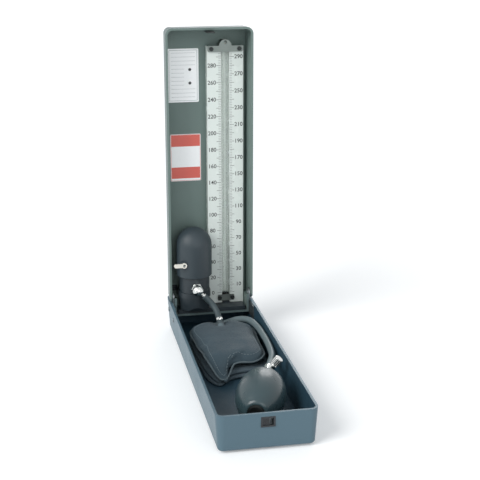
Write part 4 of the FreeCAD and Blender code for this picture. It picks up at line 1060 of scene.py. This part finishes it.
def with_tongue(ring, reach):
    """Outline whose near edge runs forward in a rounded tongue at the left, reach metres out.

    The reach dies away from the tongue's middle as 1 / (1 + (distance / width) squared).
    The left edge leans in evenly over its last lean_length, by lean metres at its near end.
    """
    x, y = ring.T
    aside = np.abs(x - tongue_x) / tongue_width
    forward = reach * ramp(tongue_from - y, tongue_fade) ** 2 / (1 + aside ** 2)
    inward = lean * ramp(lean_from - y, lean_length) * ramp(x, x.min())
    return np.stack([x + inward, y - forward], axis=1)


def lowered_tongue(points):
    """The tongue sinks towards the floor, by tongue_drop of its height at its tip.

    At the share t of the way to the tip it has sunk by 3 t squared less 2 t cubed of that.
    """
    out = ramp(tongue_root - points[:, 1], tongue_length)
    ease = out * out * (3 - 2 * out)
    points[:, 2] = cuff_floor + (points[:, 2] - cuff_floor) * (1 - tongue_drop * ease)
    return points


def stretched(values, low, high):
    """Values spread evenly so that they run from low to high."""
    return np.interp(values, (values.min(), values.max()), (low, high))


def creases(x, y):
    """Two families of fine wrinkles: across the near end, and along the side by the hose."""
    near_end = np.sin(210 * x + 40 * y) * bell(y, 0.004, 0.020)
    hose_side = 0.6 * np.sin(260 * y - 60 * x) * bell(x, 0.032, 0.012)
    return near_end + hose_side


def shaped_pillow(points):
    """Fit the puffed end to its place, with a low near end, a waist by the hose and a dent.

    Only the upper side takes these; they fade out down the rim.
    """
    points[:, 0] = stretched(points[:, 0], pillow_left, pillow_right)
    points[:, 1] -= max(points[:, 1].max() - pillow_far, 0) * ramp(points[:, 1], pillow_far)
    points[:, 2] = stretched(points[:, 2], pillow_low, pillow_high)
    on_top = ramp(points[:, 2] - top_from, top_fade)
    points[:, 2] -= on_top * dip * ramp(dip_from - points[:, 1], dip_fade)
    points[:, 0] -= on_top * waist * ramp(points[:, 0] - waist_from, waist_fade)
    dent = bell(points[:, 0], tube_x, dent_width) * ramp(points[:, 1] - dent_from, dent_fade)
    points[:, 2] -= on_top * dent_depth * dent
    points[:, 2] += on_top * crease_depth * creases(points[:, 0], points[:, 1])
    return lowered_tongue(points)


# each outline gives its left, right, near and far edges and its near and far corners' radii
pillow_ring = with_tongue(even_ring(-0.0320, 0.0380, -0.0050, 0.1095, 0.018, 0.0280),
                          tongue_length)
points, faces = soft_slab(pillow_ring, pillow_low, pillow_sewn_high, square=0.40, rows=40)
pillow = mesh_piece("cuff_pillow", points, faces, None, cuff_cloth)
puff_up(pillow, voxel=0.0030, pressure=12.0, furthest=0.0060)
rounded_more(pillow)
set_points(pillow, shaped_pillow(mesh_points(pillow.data)))
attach(pillow, "base")
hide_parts("cuff_roll", "inflation_bladder")

for name, ring, low, high in (
        ("cuff_fold_low", even_ring(-0.0355, 0.0385, -0.0090, 0.1115, 0.011, 0.024),
         cuff_floor, 0.0098),
        ("cuff_fold_middle", even_ring(-0.0346, 0.0382, -0.0055, 0.1118, 0.013, 0.026),
         0.0094, 0.0146)):
    points, faces = soft_slab(with_tongue(ring, fold_tongue_length), low, high, square=0.34,
                              rows=24)
    fold = mesh_piece(name, lowered_tongue(points), faces, "base", fold_cloth_painted_light)
    flattens_with_lid(fold)


# ======== Cuff seams ========
# A bound edge runs round the puffed end, with a row of lock stitches inside it, and a
# sewn cloth sleeve holds the tube where it comes out of the bladder.

piping_radius = 0.0010
piping_columns = 12
piping_below_middle = 0.0008
bearings = 144
stitch_pitch = 0.0034
stitch_length = 0.0026
stitch_radius = 0.00028
stitch_rise = 0.6
stitch_tip = 0.12
stitch_rings = 5
stitch_columns = 6
seam_from_rim = 0.0060
above_cuff = 0.06
sleeve_rows = 12
sleeve_radius = 0.0042
sleeve_flare = 0.0016
sleeve_bead, sleeve_bead_at, sleeve_bead_width = 0.00035, 0.9, 0.08
sleeve_play = 0.00005
sleeve_line = np.array([(0.00262, 0.0852, 0.02420), (0.00248, 0.0876, 0.02555),
                        (0.00236, 0.0896, 0.02668), (0.00228, 0.0912, 0.02758)])

# painted highlight: the binding is made lighter than the cuff for the bright line along the rim of
# the puffed end; the tube's sleeve shares it
binding_cloth_painted_highlight = cloth_material("cuff_binding_painted_highlight", colour(98, 112, 118), pitch=0.0004,
                              depth=0.00008)
stitch_thread = finish_material("stitch_thread", colour(120, 134, 140), tone=(0.1, 900.0),
                                gloss=(0.5, 0.65, 300.0), grain=(3000.0, 0.00002))


def seam_piece(name, points, faces, material):
    """Trim of the cuff, riding on the base with a mesh of its own."""
    piece = mesh_piece(name, points, faces, "base", material)
    flattens_with_lid(piece)


# how far the puffed end reaches from its middle on each bearing, a little evened out
points = mesh_points(pillow.data)
pillow_middle = (points.min(axis=0) + points.max(axis=0)) / 2
spread = points[:, :2] - pillow_middle[:2]
turned = np.arctan2(spread[:, 1], spread[:, 0]) / (2 * math.pi) % 1
reach = np.zeros(bearings)
np.maximum.at(reach, np.floor(turned * bearings).astype(int), np.linalg.norm(spread, axis=1))
gap = reach == 0
reach[gap] = np.interp(np.flatnonzero(gap), np.flatnonzero(~gap), reach[~gap])
window = np.array([1, 2, 3, 2, 1]) / 9
reach = np.convolve(np.r_[reach[-2:], reach, reach[:2]], window, mode="valid")
bearing = (np.arange(bearings) + 0.5) * 2 * math.pi / bearings


def round_pillow(inset):
    """Places seen from above, on every bearing, inset metres inside the puffed end's rim."""
    return np.stack([pillow_middle[0] + (reach - inset) * np.cos(bearing),
                     pillow_middle[1] + (reach - inset) * np.sin(bearing)], axis=1)


piping_height = (pillow_low + pillow_high) / 2 - piping_below_middle
rim = lowered_tongue(np.insert(round_pillow(0), 2, piping_height, axis=1))
round_rim = np.roll(rim, -1, axis=0) - np.roll(rim, 1, axis=0)
seam_piece("cuff_piping", tube_points(rim, round_rim, piping_radius, piping_columns),
           grid_faces(bearings, piping_columns, rows_close=True), binding_cloth_painted_highlight)


def stitch_mesh(line):
    """Short threads laid end to end along a closed line: each is a bent, tapered bead.

    Along a thread, its rings go from one tip to the other as an angle from 0 to 180
    degrees: the cosine gives the place along it, and the sine the radius and the rise.
    """
    closed, travelled = walk_round(line)
    places = np.arange(0, travelled[-1] - stitch_pitch, stitch_pitch)
    middles = points_at(places, travelled, closed)
    ahead, side, up = frames_along(points_at(places + stitch_pitch / 2, travelled, closed)
                                   - middles)
    angle = np.linspace(stitch_tip, math.pi - stitch_tip, stitch_rings)[:, None]
    spine = (middles[:, None] - np.cos(angle) * stitch_length / 2 * ahead[:, None]
             + np.sin(angle) * stitch_radius * stitch_rise * up[:, None])
    width = stitch_radius * np.sin(angle)[:, :, None]
    points = spine[:, :, None] + width * circle(side, up, stitch_columns)[:, None]
    each = stitch_rings * stitch_columns
    ends = [range(stitch_columns), range(each - 1, each - 1 - stitch_columns, -1)]
    return points.reshape(-1, 3), [
        *repeated(grid_faces(stitch_rings, stitch_columns), len(places), each),
        *repeated(ends, len(places), each)]


seam = []
for x, y in round_pillow(seam_from_rim):
    hit, place, _, _ = pillow.ray_cast((x, y, above_cuff), (0, 0, -1))
    seam.append((x, y, place.z if hit else pillow_high))
seam_piece("cuff_stitches", *stitch_mesh(np.array(seam)), stitch_thread)
flattens_with_lid(pillow)

share = np.linspace(0, 1, sleeve_rows)
line = points_at(share, np.linspace(0, 1, len(sleeve_line)), sleeve_line)
# the sleeve flares where it is sewn to the cuff, and has a bead near its open edge
width = (sleeve_radius + sleeve_flare * (1 - share) ** 2
         + sleeve_bead * bell(share, sleeve_bead_at, sleeve_bead_width))
seam_piece("cuff_tube_sleeve", *open_tube(line, width, hose_radius + sleeve_play), binding_cloth_painted_highlight)


# ======== Last update ==============
# The view layer is brought up to date once more.

bpy.context.view_layer.update()
